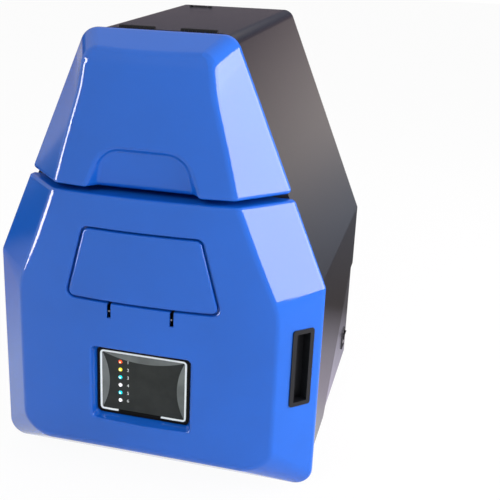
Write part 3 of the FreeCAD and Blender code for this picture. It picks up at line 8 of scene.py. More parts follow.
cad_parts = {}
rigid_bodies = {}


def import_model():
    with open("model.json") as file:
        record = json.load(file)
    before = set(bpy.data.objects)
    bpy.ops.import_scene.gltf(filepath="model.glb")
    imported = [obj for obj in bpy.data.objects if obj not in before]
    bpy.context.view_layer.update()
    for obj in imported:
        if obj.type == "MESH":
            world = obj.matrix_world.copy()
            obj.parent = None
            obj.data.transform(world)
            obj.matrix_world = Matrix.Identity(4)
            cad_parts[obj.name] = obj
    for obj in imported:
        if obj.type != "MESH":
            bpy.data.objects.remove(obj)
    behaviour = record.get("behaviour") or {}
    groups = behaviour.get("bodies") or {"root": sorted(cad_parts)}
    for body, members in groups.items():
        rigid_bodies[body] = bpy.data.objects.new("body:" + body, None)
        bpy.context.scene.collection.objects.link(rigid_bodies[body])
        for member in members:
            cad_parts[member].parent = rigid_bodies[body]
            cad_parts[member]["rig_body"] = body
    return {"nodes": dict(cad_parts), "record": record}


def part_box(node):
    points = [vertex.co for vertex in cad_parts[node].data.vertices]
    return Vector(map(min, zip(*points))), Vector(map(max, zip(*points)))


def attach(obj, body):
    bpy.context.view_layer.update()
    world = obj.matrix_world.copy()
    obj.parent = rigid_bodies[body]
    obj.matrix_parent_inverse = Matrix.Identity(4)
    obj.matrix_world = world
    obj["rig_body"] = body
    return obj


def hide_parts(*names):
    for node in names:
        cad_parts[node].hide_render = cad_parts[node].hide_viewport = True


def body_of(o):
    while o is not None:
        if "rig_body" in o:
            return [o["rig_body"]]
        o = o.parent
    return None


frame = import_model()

bl_info = {
    "name": "Gel imager",
    "version": (1, 0, 0),
    "blender": (4, 5, 0),
    "location": "View3D > Sidebar > Gel imager",
    "description": "Dresses a bench gel imager: blue doors, dark cabinet, lamps and a studio",
    "category": "Object",
}

MM = 0.001
NODES = frame["nodes"]
UPRIGHT = (math.radians(90), 0, 0)

# The indicator panel's print and lamps
DISH = 0.6 * MM
FIELD_EDGE = 5.4 * MM
FIELD_CORNER = 2 * MM
LINE_CORNER = 4.5 * MM
LINE_PROUD = 0.05 * MM
LINE_BACK = 0.02 * MM
LINE_GAP = (-0.27, 0.2)
PRINT_DEPTH = 0.1 * MM
NUMBER_DEPTH = 0.08 * MM
NUMBER_REACH = 9 * MM
LAMP_CORE = 0.42
LAMP_BACK = 0.2 * MM
COLLAR_ROUND = 0.3 * MM

# The rocker's marks
MARK_REACH = 0.27
MARK_LIFT = 0.02 * MM
MARK_DEPTH = 0.05 * MM
BAR_WIDTH = 0.9 * MM
BAR_HEIGHT = 5 * MM
BAR_CORNER = 0.3 * MM
RING_RADIUS = 2.6 * MM
RING_WIDTH = 0.8 * MM

# The studio
FLOOR_SIZE = 14
FLOOR_DROP = 0.0002
FLOOR_GLOW = 0.95
WORLD_LIGHT = 0.45
CAMERA_TARGET = (0.04887, -0.13075, 0.27863)
CAMERA_SHIFT = 0.1


# Choosing and shaping
def rest():
    """Nothing selected, nothing active in edit mode."""
    bpy.ops.object.select_all(action="DESELECT")


def shaping():
    """Edit mode with everything selected."""
    bpy.ops.object.mode_set(mode="EDIT")
    bpy.ops.mesh.select_all(action="SELECT")


def shaped():
    """Back out of edit mode."""
    bpy.ops.object.mode_set(mode="OBJECT")


def pick_faces(piece, chosen):
    """Selects only the faces whose centre passes a test, in edit mode again."""
    bpy.ops.object.mode_set(mode="EDIT")
    bpy.ops.mesh.select_mode(type="FACE")
    bpy.ops.mesh.select_all(action="DESELECT")
    bpy.ops.object.mode_set(mode="OBJECT")
    for face in piece.data.polygons:
        face.select = bool(chosen(face.center))
    bpy.ops.object.mode_set(mode="EDIT")


def settle(piece, name, node, material):
    """Names a piece, gives it its finish, fixes its place in its mesh and lets it move with a node."""
    piece.name = piece.data.name = name
    piece.data.materials.clear()
    piece.data.materials.append(material)
    rest()
    piece.select_set(True)
    bpy.context.view_layer.objects.active = piece
    bpy.ops.object.transform_apply(location=True, rotation=True, scale=True)
    bpy.ops.object.shade_smooth_by_angle(angle=math.radians(35))
    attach(piece, body_of(NODES[node])[0])
    rest()
    return piece


def soften(piece, width, segments=2):
    """Rounds a piece's sharp edges."""
    modifier = piece.modifiers.new("Edge", "BEVEL")
    modifier.width = width
    modifier.segments = segments
    modifier.limit_method = "ANGLE"
    modifier.angle_limit = math.radians(40)
    bpy.ops.object.modifier_apply(modifier=modifier.name)


# Finishes
def finish(name, colour, roughness, metallic=0.0, specular=0.5):
    """A new material with its shader's plain values set."""
    material = bpy.data.materials.new(name)
    material.use_nodes = True
    shader = material.node_tree.nodes["Principled BSDF"]
    shader.inputs["Base Color"].default_value = (*colour[:3], 1)
    shader.inputs["Roughness"].default_value = roughness
    shader.inputs["Metallic"].default_value = metallic
    shader.inputs["Specular IOR Level"].default_value = specular
    return material


def coordinates(material, stretch=(1, 1, 1)):
    """Object coordinates through a mapping that can stretch a pattern."""
    nodes, links = material.node_tree.nodes, material.node_tree.links
    source = nodes.new("ShaderNodeTexCoord")
    mapping = nodes.new("ShaderNodeMapping")
    mapping.inputs["Scale"].default_value = stretch
    links.new(source.outputs["Object"], mapping.inputs["Vector"])
    return mapping.outputs["Vector"]


def noise(material, scale, detail=3.0, stretch=(1, 1, 1)):
    """A noise pattern's value in the material."""
    nodes, links = material.node_tree.nodes, material.node_tree.links
    texture = nodes.new("ShaderNodeTexNoise")
    texture.inputs["Scale"].default_value = scale
    texture.inputs["Detail"].default_value = detail
    links.new(coordinates(material, stretch), texture.inputs["Vector"])
    return texture.outputs["Fac"]


def mottle(material, first, second, scale, detail=3.0):
    """Base colour that wanders between two colours."""
    nodes, links = material.node_tree.nodes, material.node_tree.links
    ramp = nodes.new("ShaderNodeValToRGB")
    ramp.color_ramp.elements[0].position = 0.35
    ramp.color_ramp.elements[0].color = (*first, 1)
    ramp.color_ramp.elements[1].position = 0.65
    ramp.color_ramp.elements[1].color = (*second, 1)
    links.new(noise(material, scale, detail), ramp.inputs["Fac"])
    links.new(ramp.outputs["Color"], nodes["Principled BSDF"].inputs["Base Color"])


def grain(material, scale, depth, stretch=(1, 1, 1)):
    """Fine relief from noise, with its depth in metres."""
    nodes, links = material.node_tree.nodes, material.node_tree.links
    bump = nodes.new("ShaderNodeBump")
    bump.inputs["Strength"].default_value = 1.0
    bump.inputs["Distance"].default_value = depth
    links.new(noise(material, scale, stretch=stretch), bump.inputs["Height"])
    links.new(bump.outputs["Normal"], nodes["Principled BSDF"].inputs["Normal"])


def smudge(material, low, high, scale, stretch=(1, 1, 1)):
    """Roughness that wanders between two values."""
    nodes, links = material.node_tree.nodes, material.node_tree.links
    spread = nodes.new("ShaderNodeMapRange")
    spread.inputs["To Min"].default_value = low
    spread.inputs["To Max"].default_value = high
    links.new(noise(material, scale, 4.0, stretch), spread.inputs["Value"])
    links.new(spread.outputs["Result"], nodes["Principled BSDF"].inputs["Roughness"])


def shaded(colour, share):
    """The same colour, darker or lighter."""
    return tuple(min(1.0, part * share) for part in colour[:3])


def door_paint(settings):
    """Glossy blue moulding with a very slight ripple."""
    material = finish("door_blue", settings.door_colour, 0.09, specular=0.45)
    mottle(material, shaded(settings.door_colour, 0.96), shaded(settings.door_colour, 1.04), 9.0)
    grain(material, 60.0, 0.00002)
    return material


def cover_paint(settings):
    """Satin dark paint with a fine sparkle."""
    material = finish("cover_grey", settings.cover_colour, 0.2)
    mottle(material, shaded(settings.cover_colour, 0.85), shaded(settings.cover_colour, 1.2), 1800.0, 2.0)
    grain(material, 900.0, 0.00003)
    return material


def sheet_metal(settings):
    """Bright rolled sheet with a lengthwise grain."""
    material = finish("chassis_metal", settings.metal_colour, 0.22, metallic=1.0)
    mottle(material, shaded(settings.metal_colour, 0.9), shaded(settings.metal_colour, 1.05), 14.0)
    smudge(material, 0.14, 0.3, 30.0, stretch=(1, 1, 20))
    grain(material, 120.0, 0.00001, stretch=(1, 1, 30))
    return material


def plain_finish(name, colour, roughness, metallic=0.0, scale=400.0, depth=0.00004, spread=0.04, **more):
    """A finish with mottled colour, uneven gloss and fine relief."""
    material = finish(name, colour, roughness, metallic, **more)
    mottle(material, shaded(colour, 1 - spread), shaded(colour, 1 + spread), scale / 12)
    smudge(material, roughness * 0.85, min(1.0, roughness * 1.15), scale / 8)
    grain(material, scale, depth)
    return material


def filter_glass(name, colour):
    """Tinted see-through glass."""
    material = finish(name, colour, 0.03)
    shader = material.node_tree.nodes["Principled BSDF"]
    shader.inputs["Transmission Weight"].default_value = 0.85
    shader.inputs["IOR"].default_value = 1.5
    mottle(material, shaded(colour, 0.95), shaded(colour, 1.05), 20.0)
    grain(material, 40.0, 0.00001)
    return material


# Colour, roughness, metallic, grain scale and grain depth in metres
PLAIN = {
    "frame_black": ((0.012, 0.012, 0.014), 0.5, 0.0, 600.0, 0.00005),
    "liner_dark": ((0.014, 0.014, 0.022), 0.7, 0.0, 700.0, 0.00006),
    "plated_steel": ((0.62, 0.62, 0.64), 0.25, 1.0, 500.0, 0.00002),
    "foot_rubber": ((0.018, 0.018, 0.018), 0.85, 0.0, 500.0, 0.0001),
    "seal_rubber": ((0.012, 0.012, 0.012), 0.95, 0.0, 900.0, 0.00015),
    "black_plastic": ((0.014, 0.014, 0.016), 0.45, 0.0, 800.0, 0.00005),
    "gloss_black": ((0.01, 0.01, 0.011), 0.18, 0.0, 200.0, 0.00002),
    "magnet_grey": ((0.05, 0.05, 0.05), 0.6, 0.3, 500.0, 0.00008),
    "aluminium_grey": ((0.5, 0.5, 0.52), 0.38, 1.0, 700.0, 0.00003),
    "anodised_black": ((0.02, 0.02, 0.022), 0.35, 0.7, 900.0, 0.00003),
    "tube_white": ((0.8, 0.81, 0.84), 0.25, 0.0, 100.0, 0.00002),
    "white_plastic": ((0.7, 0.7, 0.68), 0.4, 0.0, 500.0, 0.00004),
    "reflector_bright": ((0.8, 0.8, 0.82), 0.08, 1.0, 100.0, 0.00002),
    "case_grey": ((0.16, 0.16, 0.175), 0.45, 0.0, 700.0, 0.00005),
    "diffuser_white": ((0.78, 0.78, 0.76), 0.5, 0.0, 300.0, 0.00003),
    "lamp_blue": ((0.12, 0.2, 0.7), 0.3, 0.0, 300.0, 0.00003),
    "board_green": ((0.015, 0.12, 0.05), 0.35, 0.0, 300.0, 0.00005),
    "brass_post": ((0.6, 0.42, 0.16), 0.3, 1.0, 400.0, 0.00002),
    "led_lens": ((0.7, 0.65, 0.5), 0.15, 0.0, 100.0, 0.00001),
}

# Dark finishes that mirror little, with their specular level last
MUTED = {
    "black_steel": ((0.006, 0.006, 0.007), 0.5, 0.0, 600.0, 0.00003, 0.15),
    "grey_plastic": ((0.008, 0.009, 0.011), 0.4, 0.0, 900.0, 0.00003, 0.25),
    "panel_charcoal": ((0.003, 0.003, 0.003), 0.3, 0.0, 300.0, 0.00001, 0.08),
}
# Parts whose finish differs from their slot's
OWN_FINISH = {"top_port": "cover_grey", "push_door_brackets": "plated_steel"}


def slot_materials(settings):
    """Every material slot's finish, by the slot's name."""
    made = {name: plain_finish(name, colour, rough, metal, scale, depth)
            for name, (colour, rough, metal, scale, depth) in PLAIN.items()}
    made["door_blue"] = door_paint(settings)
    made["cover_grey"] = cover_paint(settings)
    made["chassis_metal"] = sheet_metal(settings)
    for name, (colour, rough, metal, scale, depth, specular) in MUTED.items():
        made[name] = plain_finish(name, colour, rough, metal, scale, depth, specular=specular)
    made["filter_glass"] = filter_glass("filter_glass", (0.6, 0.2, 0.03))
    made["uv_glass"] = filter_glass("uv_glass", (0.05, 0.03, 0.1))
    return made


# Each lamp's lens colour, then its brighter core
LAMP_COLOURS = {
    "lamp_red": ((0.9, 0.08, 0.01), (1.0, 0.75, 0.45)),
    "lamp_yellow": ((0.85, 0.8, 0.02), (1.0, 1.0, 0.55)),
    "lamp_cyan": ((0.0, 0.75, 0.85), (0.7, 1.0, 1.0)),
    "lamp_white": ((0.8, 0.8, 0.82), (1.0, 1.0, 1.0)),
}
LAMP_ORDER = ("lamp_red", "lamp_yellow", "lamp_cyan", "lamp_white", "lamp_cyan", "lamp_white")


def lamp_finish(name, colour, glow):
    """A lit lens: clear coloured plastic over its own light."""
    material = plain_finish(name, colour, 0.12, 0.0, 60.0, 0.000004, 0.06)
    shader = material.node_tree.nodes["Principled BSDF"]
    shader.inputs["Emission Color"].default_value = (*colour, 1)
    shader.inputs["Emission Strength"].default_value = glow
    return material


class ImagerColours(bpy.types.PropertyGroup):
    """Colours of the imager's main finishes."""
    door_colour: FloatVectorProperty(
        name="Door colour", description="Blue of both doors", subtype="COLOR", size=3,
        min=0, max=1, default=(0.006, 0.103, 0.5))
    cover_colour: FloatVectorProperty(
        name="Cover colour", description="Dark paint of the cabinet", subtype="COLOR", size=3,
        min=0, max=1, default=(0.01, 0.0095, 0.011))
    metal_colour: FloatVectorProperty(
        name="Chassis colour", description="Bare sheet of the chassis", subtype="COLOR", size=3,
        min=0, max=1, default=(0.6, 0.62, 0.68))


class ImagerSizes(bpy.types.PropertyGroup):
    """Sizes of the pieces that are added to the frame."""
    panel_edge: FloatProperty(name="Panel edge", description="Black margin outside the pale line",
                              default=3.2 * MM, min=0, subtype="DISTANCE", unit="LENGTH")
    panel_line: FloatProperty(name="Panel line", description="Width of the pale line", default=2.3 * MM,
                              min=0, subtype="DISTANCE", unit="LENGTH")
    panel_arc: FloatProperty(name="Panel arc", description="How far each grey arc swells into the field",
                             default=9.0 * MM, min=0, subtype="DISTANCE", unit="LENGTH")
    number_height: FloatProperty(name="Number size", description="Font size of the plain numbers",
                                 default=5.4 * MM, min=0, subtype="DISTANCE", unit="LENGTH")


class ImagerStudio(bpy.types.PropertyGroup):
    """The camera and the light."""
    lens: FloatProperty(name="Lens", description="Focal length on a 36 mm sensor", default=67.34, min=10,
                        subtype="DISTANCE_CAMERA", unit="CAMERA")
    turn: FloatProperty(name="Turn", description="How far round to the right the camera stands",
                        default=math.radians(15.6), subtype="ANGLE", unit="ROTATION")
    rise: FloatProperty(name="Rise", description="How far the camera looks down",
                        default=math.radians(19.87), subtype="ANGLE", unit="ROTATION")
    roll: FloatProperty(name="Roll", description="The camera's tilt about its own line of sight",
                        default=math.radians(1.56), subtype="ANGLE", unit="ROTATION")
    distance: FloatProperty(name="Distance", description="From the camera to its target", default=1.0331,
                            min=0.1, subtype="DISTANCE", unit="LENGTH")
    key_power: FloatProperty(name="Key light", description="Power of the large soft light", default=50.0,
                             min=0, subtype="POWER", unit="POWER")


class GELIMAGER_OT_finishes(bpy.types.Operator):
    """Gives every carried-over part its own finish"""
    bl_idname = "gelimager.finishes"
    bl_label = "Finishes"

    def execute(self, context):
        made = slot_materials(context.scene.imager_colours)
        for part in frame["record"]["subparts"]:
            mesh = NODES[part["node"]].data
            mesh.materials.clear()
            mesh.materials.append(made[OWN_FINISH.get(part["node"], part["material_slot"])])
        return {"FINISHED"}


# The indicator face
def upright_plate(width, height, middle, corner):
    """A rounded rectangle standing upright and facing the front, left in edit mode."""
    rest()
    bpy.ops.mesh.primitive_plane_add(size=1, location=middle, rotation=UPRIGHT)
    plate = bpy.context.object
    plate.scale = (width, height, 1)
    bpy.ops.object.transform_apply(location=True, rotation=True, scale=True)
    shaping()
    bpy.ops.mesh.bevel(offset=corner, segments=6, affect="VERTICES")
    bpy.ops.mesh.select_all(action="SELECT")
    return plate


def thicken(depth):
    """Pulls the whole flat shape forward into a closed slab, still in edit mode."""
    bpy.ops.mesh.select_all(action="SELECT")
    bpy.ops.mesh.extrude_region_move(TRANSFORM_OT_translate={"value": (0, -depth, 0)})
    bpy.ops.mesh.select_all(action="SELECT")
    bpy.ops.mesh.normals_make_consistent(inside=False)


class GELIMAGER_OT_indicator_face(bpy.types.Operator):
    """Makes the indicator panel's printed field, frame line, side arcs and plain numbers"""
    bl_idname = "gelimager.indicator_face"
    bl_label = "Indicator face"

    def execute(self, context):
        self.sizes = context.scene.imager_sizes
        low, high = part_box("indicator_panel")
        self.middle = Vector(((low[0] + high[0]) / 2, low[1] + DISH, (low[2] + high[2]) / 2))
        self.width, self.height = high[0] - low[0], high[2] - low[2]
        self.field()
        self.frame_line()
        edge = self.sizes.panel_edge + self.sizes.panel_line
        across, tall = self.width / 2 - edge, self.height / 2 - edge
        self.arc("panel_arc_left", (-across, 0), (1, 0), tall * 2)
        self.arc("panel_arc_right", (across, 0), (-1, 0), tall * 2)
        self.arc("panel_arc_top", (0, tall), (0, -1), across * 2)
        self.numbers()
        return {"FINISHED"}

    def field(self):
        """The charcoal print that fills the plate's dish and runs out to its lower edge."""
        plate = upright_plate(self.width - 2 * FIELD_EDGE, self.height - 2 * FIELD_EDGE, self.middle,
                              FIELD_CORNER)
        thicken(PRINT_DEPTH)
        shaped()
        charcoal = plain_finish("panel_print", (0.026, 0.03, 0.028), 0.4, 0.0, 900.0, 0.000008, 0.1,
                                specular=0.12)
        settle(plate, "panel_field", "indicator_panel", charcoal)

    def frame_line(self):
        """The pale line around the field, open at the bottom."""
        edge, line = self.sizes.panel_edge, self.sizes.panel_line
        middle = self.middle + Vector((0, -LINE_BACK, 0))
        ring = upright_plate(self.width - 2 * edge, self.height - 2 * edge, middle, LINE_CORNER)
        bpy.ops.mesh.inset(thickness=line)
        bpy.ops.mesh.delete(type="FACE")
        left, right = (share * self.width for share in LINE_GAP)
        for side in (left, right):
            bpy.ops.mesh.select_all(action="SELECT")
            bpy.ops.mesh.bisect(plane_co=(side, 0, 0), plane_no=(1, 0, 0))
        pick_faces(ring, lambda spot: left < spot.x < right and spot.z < self.middle.z)
        bpy.ops.mesh.delete(type="FACE")
        thicken(DISH + LINE_PROUD)
        shaped()
        soften(ring, 0.15 * MM)
        pale = plain_finish("panel_line", (0.86, 0.93, 0.89), 0.3, 0.0, 500.0, 0.00001, 0.03)
        settle(ring, "panel_frame_line", "indicator_panel", pale)

    def arc(self, name, chord, way, length):
        """A grey sliver between the frame line and a long arc."""
        swell = self.sizes.panel_arc
        radius = (length * length / 4 + swell * swell) / (2 * swell)
        spot = self.middle + Vector((chord[0], -PRINT_DEPTH, chord[1]))
        inward = Vector((way[0], 0, way[1]))
        rest()
        bpy.ops.mesh.primitive_circle_add(vertices=256, radius=radius, fill_type="NGON",
                                          location=spot - inward * (radius - swell), rotation=UPRIGHT)
        sliver = bpy.context.object
        bpy.ops.object.transform_apply(location=True, rotation=True, scale=True)
        shaping()
        bpy.ops.mesh.bisect(plane_co=spot, plane_no=inward, clear_inner=True)
        thicken(PRINT_DEPTH)
        shaped()
        grey = plain_finish("panel_arc", (0.13, 0.148, 0.14), 0.35, 0.0, 300.0, 0.00001, 0.3, specular=0.3)
        settle(sliver, name, "indicator_panel", grey)

    def numbers(self):
        """Plain numbers one to six beside the lamps."""
        white = plain_finish("panel_number", (0.8, 0.84, 0.82), 0.4, 0.0, 500.0, 0.00001, 0.05)
        for count, spot in enumerate(lamp_places()):
            rest()
            place = (spot.x + NUMBER_REACH, self.middle.y - NUMBER_DEPTH, spot.z)
            bpy.ops.object.text_add(location=place, rotation=UPRIGHT)
            text = bpy.context.object
            text.data.body = str(count + 1)
            text.data.size = self.sizes.number_height
            text.data.extrude = NUMBER_DEPTH
            text.data.align_x = "CENTER"
            text.data.align_y = "CENTER"
            bpy.ops.object.convert(target="MESH")
            settle(bpy.context.object, f"panel_number_{count + 1}", "indicator_panel", white)


def lamp_places():
    """Middles of the six lamps on the panel's dish, from the top down."""
    low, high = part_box("indicator_leds")
    radius = (high[0] - low[0]) / 2
    pitch = (high[2] - low[2] - 2 * radius) / (len(LAMP_ORDER) - 1)
    across, face = (low[0] + high[0]) / 2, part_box("indicator_panel")[0][1] + DISH
    return [Vector((across, face, high[2] - radius - pitch * step)) for step in range(len(LAMP_ORDER))]


class GELIMAGER_OT_switch_marks(bpy.types.Operator):
    """Makes the rocker's plain on and off marks"""
    bl_idname = "gelimager.switch_marks"
    bl_label = "Switch marks"

    def execute(self, context):
        low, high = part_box("power_rocker")
        middle = Vector((0, (low[1] + high[1]) / 2, (low[2] + high[2]) / 2))
        white = plain_finish("switch_mark", (0.75, 0.75, 0.75), 0.45, 0.0, 400.0, 0.00001, 0.05)
        rocker = NODES["power_rocker"]
        reach = (high[2] - low[2]) * MARK_REACH
        on = self.lay(rocker, middle, reach, self.bar)
        settle(on, "switch_mark_on", "power_rocker", white)
        off = self.lay(rocker, middle, -reach, self.ring)
        settle(off, "switch_mark_off", "power_rocker", white)
        return {"FINISHED"}

    def lay(self, rocker, middle, rise, shape):
        """A mark laid on the rocker's outer face at a height, turned to that face."""
        spot = Vector((1.0, middle.y, middle.z + rise))
        hit, place, normal, _ = rocker.ray_cast(spot, Vector((-1, 0, 0)))
        if not hit:
            raise RuntimeError("no rocker face under the mark")
        rest()
        mark = shape()
        turned = normal.to_track_quat("Z", "Y").to_matrix().to_4x4()
        mark.matrix_world = Matrix.Translation(place + normal * MARK_LIFT) @ turned
        return mark

    def bar(self):
        """The short upright stroke."""
        bpy.ops.mesh.primitive_plane_add(size=1)
        bar = bpy.context.object
        bar.scale = (BAR_WIDTH, BAR_HEIGHT, 1)
        bpy.ops.object.transform_apply(location=True, rotation=True, scale=True)
        shaping()
        bpy.ops.mesh.bevel(offset=BAR_CORNER, segments=3, affect="VERTICES")
        self.raise_up()
        return bar

    def ring(self):
        """The round off mark."""
        bpy.ops.mesh.primitive_circle_add(vertices=40, radius=RING_RADIUS, fill_type="NGON")
        ring = bpy.context.object
        shaping()
        bpy.ops.mesh.inset(thickness=RING_WIDTH)
        bpy.ops.mesh.delete(type="FACE")
        self.raise_up()
        return ring

    def raise_up(self):
        """Gives the flat mark its small height and closes it."""
        bpy.ops.mesh.select_all(action="SELECT")
        bpy.ops.mesh.extrude_region_move(TRANSFORM_OT_translate={"value": (0, 0, MARK_DEPTH)})
        bpy.ops.mesh.select_all(action="SELECT")
        bpy.ops.mesh.normals_make_consistent(inside=False)
        shaped()


class GELIMAGER_OT_lamps(bpy.types.Operator):
    """Makes the six domed lamps, each with its collar"""
    bl_idname = "gelimager.lamps"
    bl_label = "Lamps"

    def execute(self, context):
        low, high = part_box("indicator_leds")
        radius = (high[0] - low[0]) / 2
        core = {name: lamp_finish(name + "_core", bright, 1.0)
                for name, (_, bright) in LAMP_COLOURS.items()}
        skin = {name: lamp_finish(name, colour, 0.55) for name, (colour, _) in LAMP_COLOURS.items()}
        dark = plain_finish("lamp_collar", (0.02, 0.02, 0.02), 0.3, 0.0, 500.0, 0.00001)
        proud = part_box("indicator_panel")[0][1] - low[1] + DISH
        for count, (spot, colour) in enumerate(zip(lamp_places(), LAMP_ORDER)):
            lamp = self.dome(spot, radius, proud)
            settle(lamp, f"lamp_{count + 1}", "indicator_leds", skin[colour])
            lamp.data.materials.append(core[colour])
            for face in lamp.data.polygons:
                across = math.hypot(face.center.x - spot.x, face.center.z - spot.z)
                face.material_index = int(across < radius * LAMP_CORE and face.normal.y < 0)
            if count == 0:
                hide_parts("indicator_leds")
            rest()
            bpy.ops.mesh.primitive_torus_add(major_segments=32, minor_segments=8, major_radius=radius,
                                             minor_radius=COLLAR_ROUND, location=spot, rotation=UPRIGHT)
            settle(bpy.context.object, f"lamp_collar_{count + 1}", "indicator_leds", dark)
        return {"FINISHED"}

    def dome(self, spot, radius, proud):
        """A lens: a flattened ball with its back cut off just behind the dish."""
        rest()
        bpy.ops.mesh.primitive_uv_sphere_add(segments=32, ring_count=24, radius=radius, location=spot,
                                             rotation=UPRIGHT)
        lens = bpy.context.object
        lens.scale = (1, 1, proud / radius)
        bpy.ops.object.transform_apply(location=True, rotation=True, scale=True)
        shaping()
        bpy.ops.mesh.bisect(plane_co=spot + Vector((0, LAMP_BACK, 0)), plane_no=(0, 1, 0),
                            clear_outer=True, use_fill=True)
        shaped()
        return lens


def aim(thing, place, target):
    """Puts a light at a place and turns it to face a target."""
    thing.location = place
    thing.rotation_euler = (Vector(target) - Vector(place)).to_track_quat("-Z", "Y").to_euler()


def soft_light(name, place, target, width, height, power, colour=(1, 1, 1)):
    """A rectangular soft light."""
    lamp = bpy.data.lights.new(name, "AREA")
    lamp.shape = "RECTANGLE"
    lamp.size = width
    lamp.size_y = height
    lamp.energy = power
    lamp.color = colour
    thing = bpy.data.objects.new(name, lamp)
    bpy.context.scene.collection.objects.link(thing)
    aim(thing, place, target)
    return thing


# What gloss mirrors of the floor, front to back in metres, and of the world, by height
FLOOR_GRADE = (
    (-0.05, (1.0, 1.0, 1.0)),
    (0.1, (0.62, 0.56, 0.68)),
    (0.25, (0.42, 0.39, 0.46)),
    (0.42, (0.03, 0.025, 0.02)),
    (1.0, (0.07, 0.08, 0.1)),
    (1.8, (0.22, 0.26, 0.33)),
    (6.0, (0.75, 0.68, 0.66)),
)
SKY_GRADE = (
    (-0.05, (0.75, 0.68, 0.66)),
    (0.03, (0.5, 0.43, 0.43)),
    (0.1, (0.12, 0.09, 0.12)),
    (0.24, (0.06, 0.1, 0.17)),
    (0.34, (0.62, 0.55, 0.56)),
    (0.8, (1.0, 1.0, 1.0)),
)


def path_gloss(nodes):
    """One for a ray that comes from gloss."""
    return nodes.new("ShaderNodeLightPath").outputs["Is Glossy Ray"]


def coordinate(nodes, links, kind, axis):
    """One axis of a place or a direction."""
    source = nodes.new("ShaderNodeTexCoord")
    apart = nodes.new("ShaderNodeSeparateXYZ")
    links.new(source.outputs[kind], apart.inputs["Vector"])
    return apart.outputs[axis]


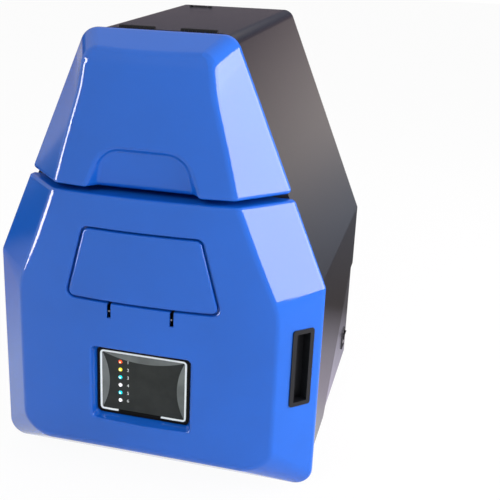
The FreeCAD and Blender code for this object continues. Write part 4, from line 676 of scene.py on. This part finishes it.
class GELIMAGER_OT_studio(bpy.types.Operator):
    """Adds the pale floor, the soft light and the camera"""
    bl_idname = "gelimager.studio"
    bl_label = "Studio"

    def execute(self, context):
        settings = context.scene.imager_studio
        self.floor(context)
        self.lights(settings.key_power)
        self.world(context)
        self.camera(context, settings)
        context.scene.view_settings.view_transform = "Standard"
        return {"FINISHED"}

    def floor(self, context):
        """A wide plane just under the feet."""
        rest()
        bpy.ops.mesh.primitive_plane_add(size=1, location=(0, 0, -FLOOR_DROP))
        floor = context.object
        floor.name = "studio_floor"
        floor.data.transform(Matrix.Diagonal((FLOOR_SIZE, FLOOR_SIZE, 1, 1)))
        floor.data.materials.append(self.floor_finish())

    def lights(self, key_power):
        """The key on the right, two fills that gloss doesn't show, and a strip that only gloss shows."""
        soft_light("key_light", (1.5, 0.05, 0.68), (0, 0.05, 0.68), 1.6, 1.05, key_power, (1, 0.89, 0.97))
        front = soft_light("front_light", (-0.7, -2.0, 1.9), (0, 0, 0.3), 1.6, 1.2, 27)
        front.visible_glossy = False
        top = soft_light("top_light", (0.1, 0.6, 2.4), (0, 0, 0.3), 1.6, 1.6, 10)
        top.visible_glossy = False
        edge = soft_light("left_strip", (-0.95, -0.62, 0.45), (-0.13, -0.19, 0.45), 0.3, 0.9, 17,
                          (1, 0.93, 0.97))
        edge.visible_diffuse = False

    def seen_rays(self, nodes, links, path):
        """One where a ray comes from the camera, from gloss or through glass."""
        seen = path.outputs["Is Camera Ray"]
        for kind in ("Is Glossy Ray", "Is Transmission Ray"):
            either = nodes.new("ShaderNodeMath")
            either.operation = "MAXIMUM"
            links.new(seen, either.inputs[0])
            links.new(path.outputs[kind], either.inputs[1])
            seen = either.outputs[0]
        return seen

    def floor_finish(self):
        """Matt white that still catches the shadow, and plain white to the camera."""
        material = finish("studio_white", (0.8, 0.8, 0.8), 0.9)
        nodes, links = material.node_tree.nodes, material.node_tree.links
        glow = nodes.new("ShaderNodeEmission")
        glow.inputs["Strength"].default_value = 1.0
        depth = coordinate(nodes, links, "Object", "Y")
        links.new(self.graded(nodes, links, path_gloss(nodes), depth, FLOOR_GRADE), glow.inputs["Color"])
        path = nodes.new("ShaderNodeLightPath")
        blend = nodes.new("ShaderNodeMixShader")
        share = nodes.new("ShaderNodeMath")
        share.operation = "MULTIPLY"
        share.inputs[1].default_value = FLOOR_GLOW
        links.new(self.seen_rays(nodes, links, path), share.inputs[0])
        links.new(share.outputs[0], blend.inputs["Fac"])
        links.new(nodes["Principled BSDF"].outputs["BSDF"], blend.inputs[1])
        links.new(glow.outputs["Emission"], blend.inputs[2])
        links.new(blend.outputs["Shader"], nodes["Material Output"].inputs["Surface"])
        return material

    def graded(self, nodes, links, gloss, level, grade):
        """White, but in gloss a soft grade along one direction, as a real room gives."""
        ramp = nodes.new("ShaderNodeValToRGB")
        low, high = grade[0][0], grade[-1][0]
        spread = nodes.new("ShaderNodeMapRange")
        spread.inputs["From Min"].default_value = low
        spread.inputs["From Max"].default_value = high
        links.new(level, spread.inputs["Value"])
        links.new(spread.outputs["Result"], ramp.inputs["Fac"])
        stops = ramp.color_ramp.elements
        while len(stops) < len(grade):
            stops.new(0.5)
        for stop, (place, colour) in zip(stops, grade):
            stop.position = (place - low) / (high - low)
            stop.color = (*colour, 1)
        mix = nodes.new("ShaderNodeMix")
        mix.data_type = "RGBA"
        mix.inputs["A"].default_value = (1, 1, 1, 1)
        links.new(gloss, mix.inputs["Factor"])
        links.new(ramp.outputs["Color"], mix.inputs["B"])
        return mix.outputs["Result"]

    def world(self, context):
        """White to the camera and in reflections, a lower level as light."""
        world = bpy.data.worlds.new("studio_world")
        world.use_nodes = True
        nodes, links = world.node_tree.nodes, world.node_tree.links
        path = nodes.new("ShaderNodeLightPath")
        level = nodes.new("ShaderNodeMapRange")
        level.inputs["To Min"].default_value = WORLD_LIGHT
        level.inputs["To Max"].default_value = 1.0
        links.new(self.seen_rays(nodes, links, path), level.inputs["Value"])
        links.new(level.outputs["Result"], nodes["Background"].inputs["Strength"])
        behind = nodes.new("ShaderNodeMapRange")
        behind.inputs["From Min"].default_value = 0.2
        behind.inputs["From Max"].default_value = 0.6
        links.new(coordinate(nodes, links, "Generated", "Y"), behind.inputs["Value"])
        share = nodes.new("ShaderNodeMath")
        share.operation = "MULTIPLY"
        links.new(behind.outputs["Result"], share.inputs[0])
        links.new(path_gloss(nodes), share.inputs[1])
        height = coordinate(nodes, links, "Generated", "Z")
        links.new(self.graded(nodes, links, share.outputs[0], height, SKY_GRADE),
                  nodes["Background"].inputs["Color"])
        context.scene.world = world

    def camera(self, context, settings):
        """The camera at the photograph's angle."""
        turn, rise, roll = settings.turn, settings.rise, settings.roll
        back = Vector((math.sin(turn) * math.cos(rise), -math.cos(turn) * math.cos(rise), math.sin(rise)))
        side = Vector((math.cos(turn), math.sin(turn), 0))
        up = back.cross(side)
        side = side * math.cos(roll) + up * math.sin(roll)
        up = back.cross(side)
        lens = bpy.data.cameras.new("studio_camera")
        lens.lens = settings.lens
        lens.sensor_width = 36
        lens.shift_x = CAMERA_SHIFT
        lens.clip_end = 50
        camera = bpy.data.objects.new("studio_camera", lens)
        context.scene.collection.objects.link(camera)
        turned = Matrix((side, up, back)).transposed().to_4x4()
        place = Vector(CAMERA_TARGET) + back * settings.distance
        camera.matrix_world = Matrix.Translation(place) @ turned
        context.scene.camera = camera


class GELIMAGER_PT_panel(bpy.types.Panel):
    """Lists the imager's sizes, colours and steps"""
    bl_idname = "GELIMAGER_PT_panel"
    bl_label = "Gel imager"
    bl_space_type = "VIEW_3D"
    bl_region_type = "UI"
    bl_category = "Gel imager"

    def draw(self, context):
        for group in (context.scene.imager_colours, context.scene.imager_sizes, context.scene.imager_studio):
            for name in group.__annotations__:
                self.layout.prop(group, name)
        for step in STEPS:
            self.layout.operator(step.bl_idname)


STEPS = (GELIMAGER_OT_finishes, GELIMAGER_OT_indicator_face, GELIMAGER_OT_lamps,
         GELIMAGER_OT_switch_marks, GELIMAGER_OT_studio)
CLASSES = (ImagerColours, ImagerSizes, ImagerStudio, *STEPS, GELIMAGER_PT_panel)


def register():
    """Adds the settings, steps and panel to Blender."""
    for entry in CLASSES:
        bpy.utils.register_class(entry)
    bpy.types.Scene.imager_colours = PointerProperty(type=ImagerColours)
    bpy.types.Scene.imager_sizes = PointerProperty(type=ImagerSizes)
    bpy.types.Scene.imager_studio = PointerProperty(type=ImagerStudio)


def unregister():
    """Takes them out again."""
    del bpy.types.Scene.imager_colours
    del bpy.types.Scene.imager_sizes
    del bpy.types.Scene.imager_studio
    for entry in reversed(CLASSES):
        bpy.utils.unregister_class(entry)


def main():
    """Registers the add-on, then runs every step in order."""
    register()
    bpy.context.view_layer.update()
    bpy.ops.gelimager.finishes()
    bpy.ops.gelimager.indicator_face()
    bpy.ops.gelimager.lamps()
    bpy.ops.gelimager.switch_marks()
    bpy.ops.gelimager.studio()


if __name__ == "__main__":
    main()
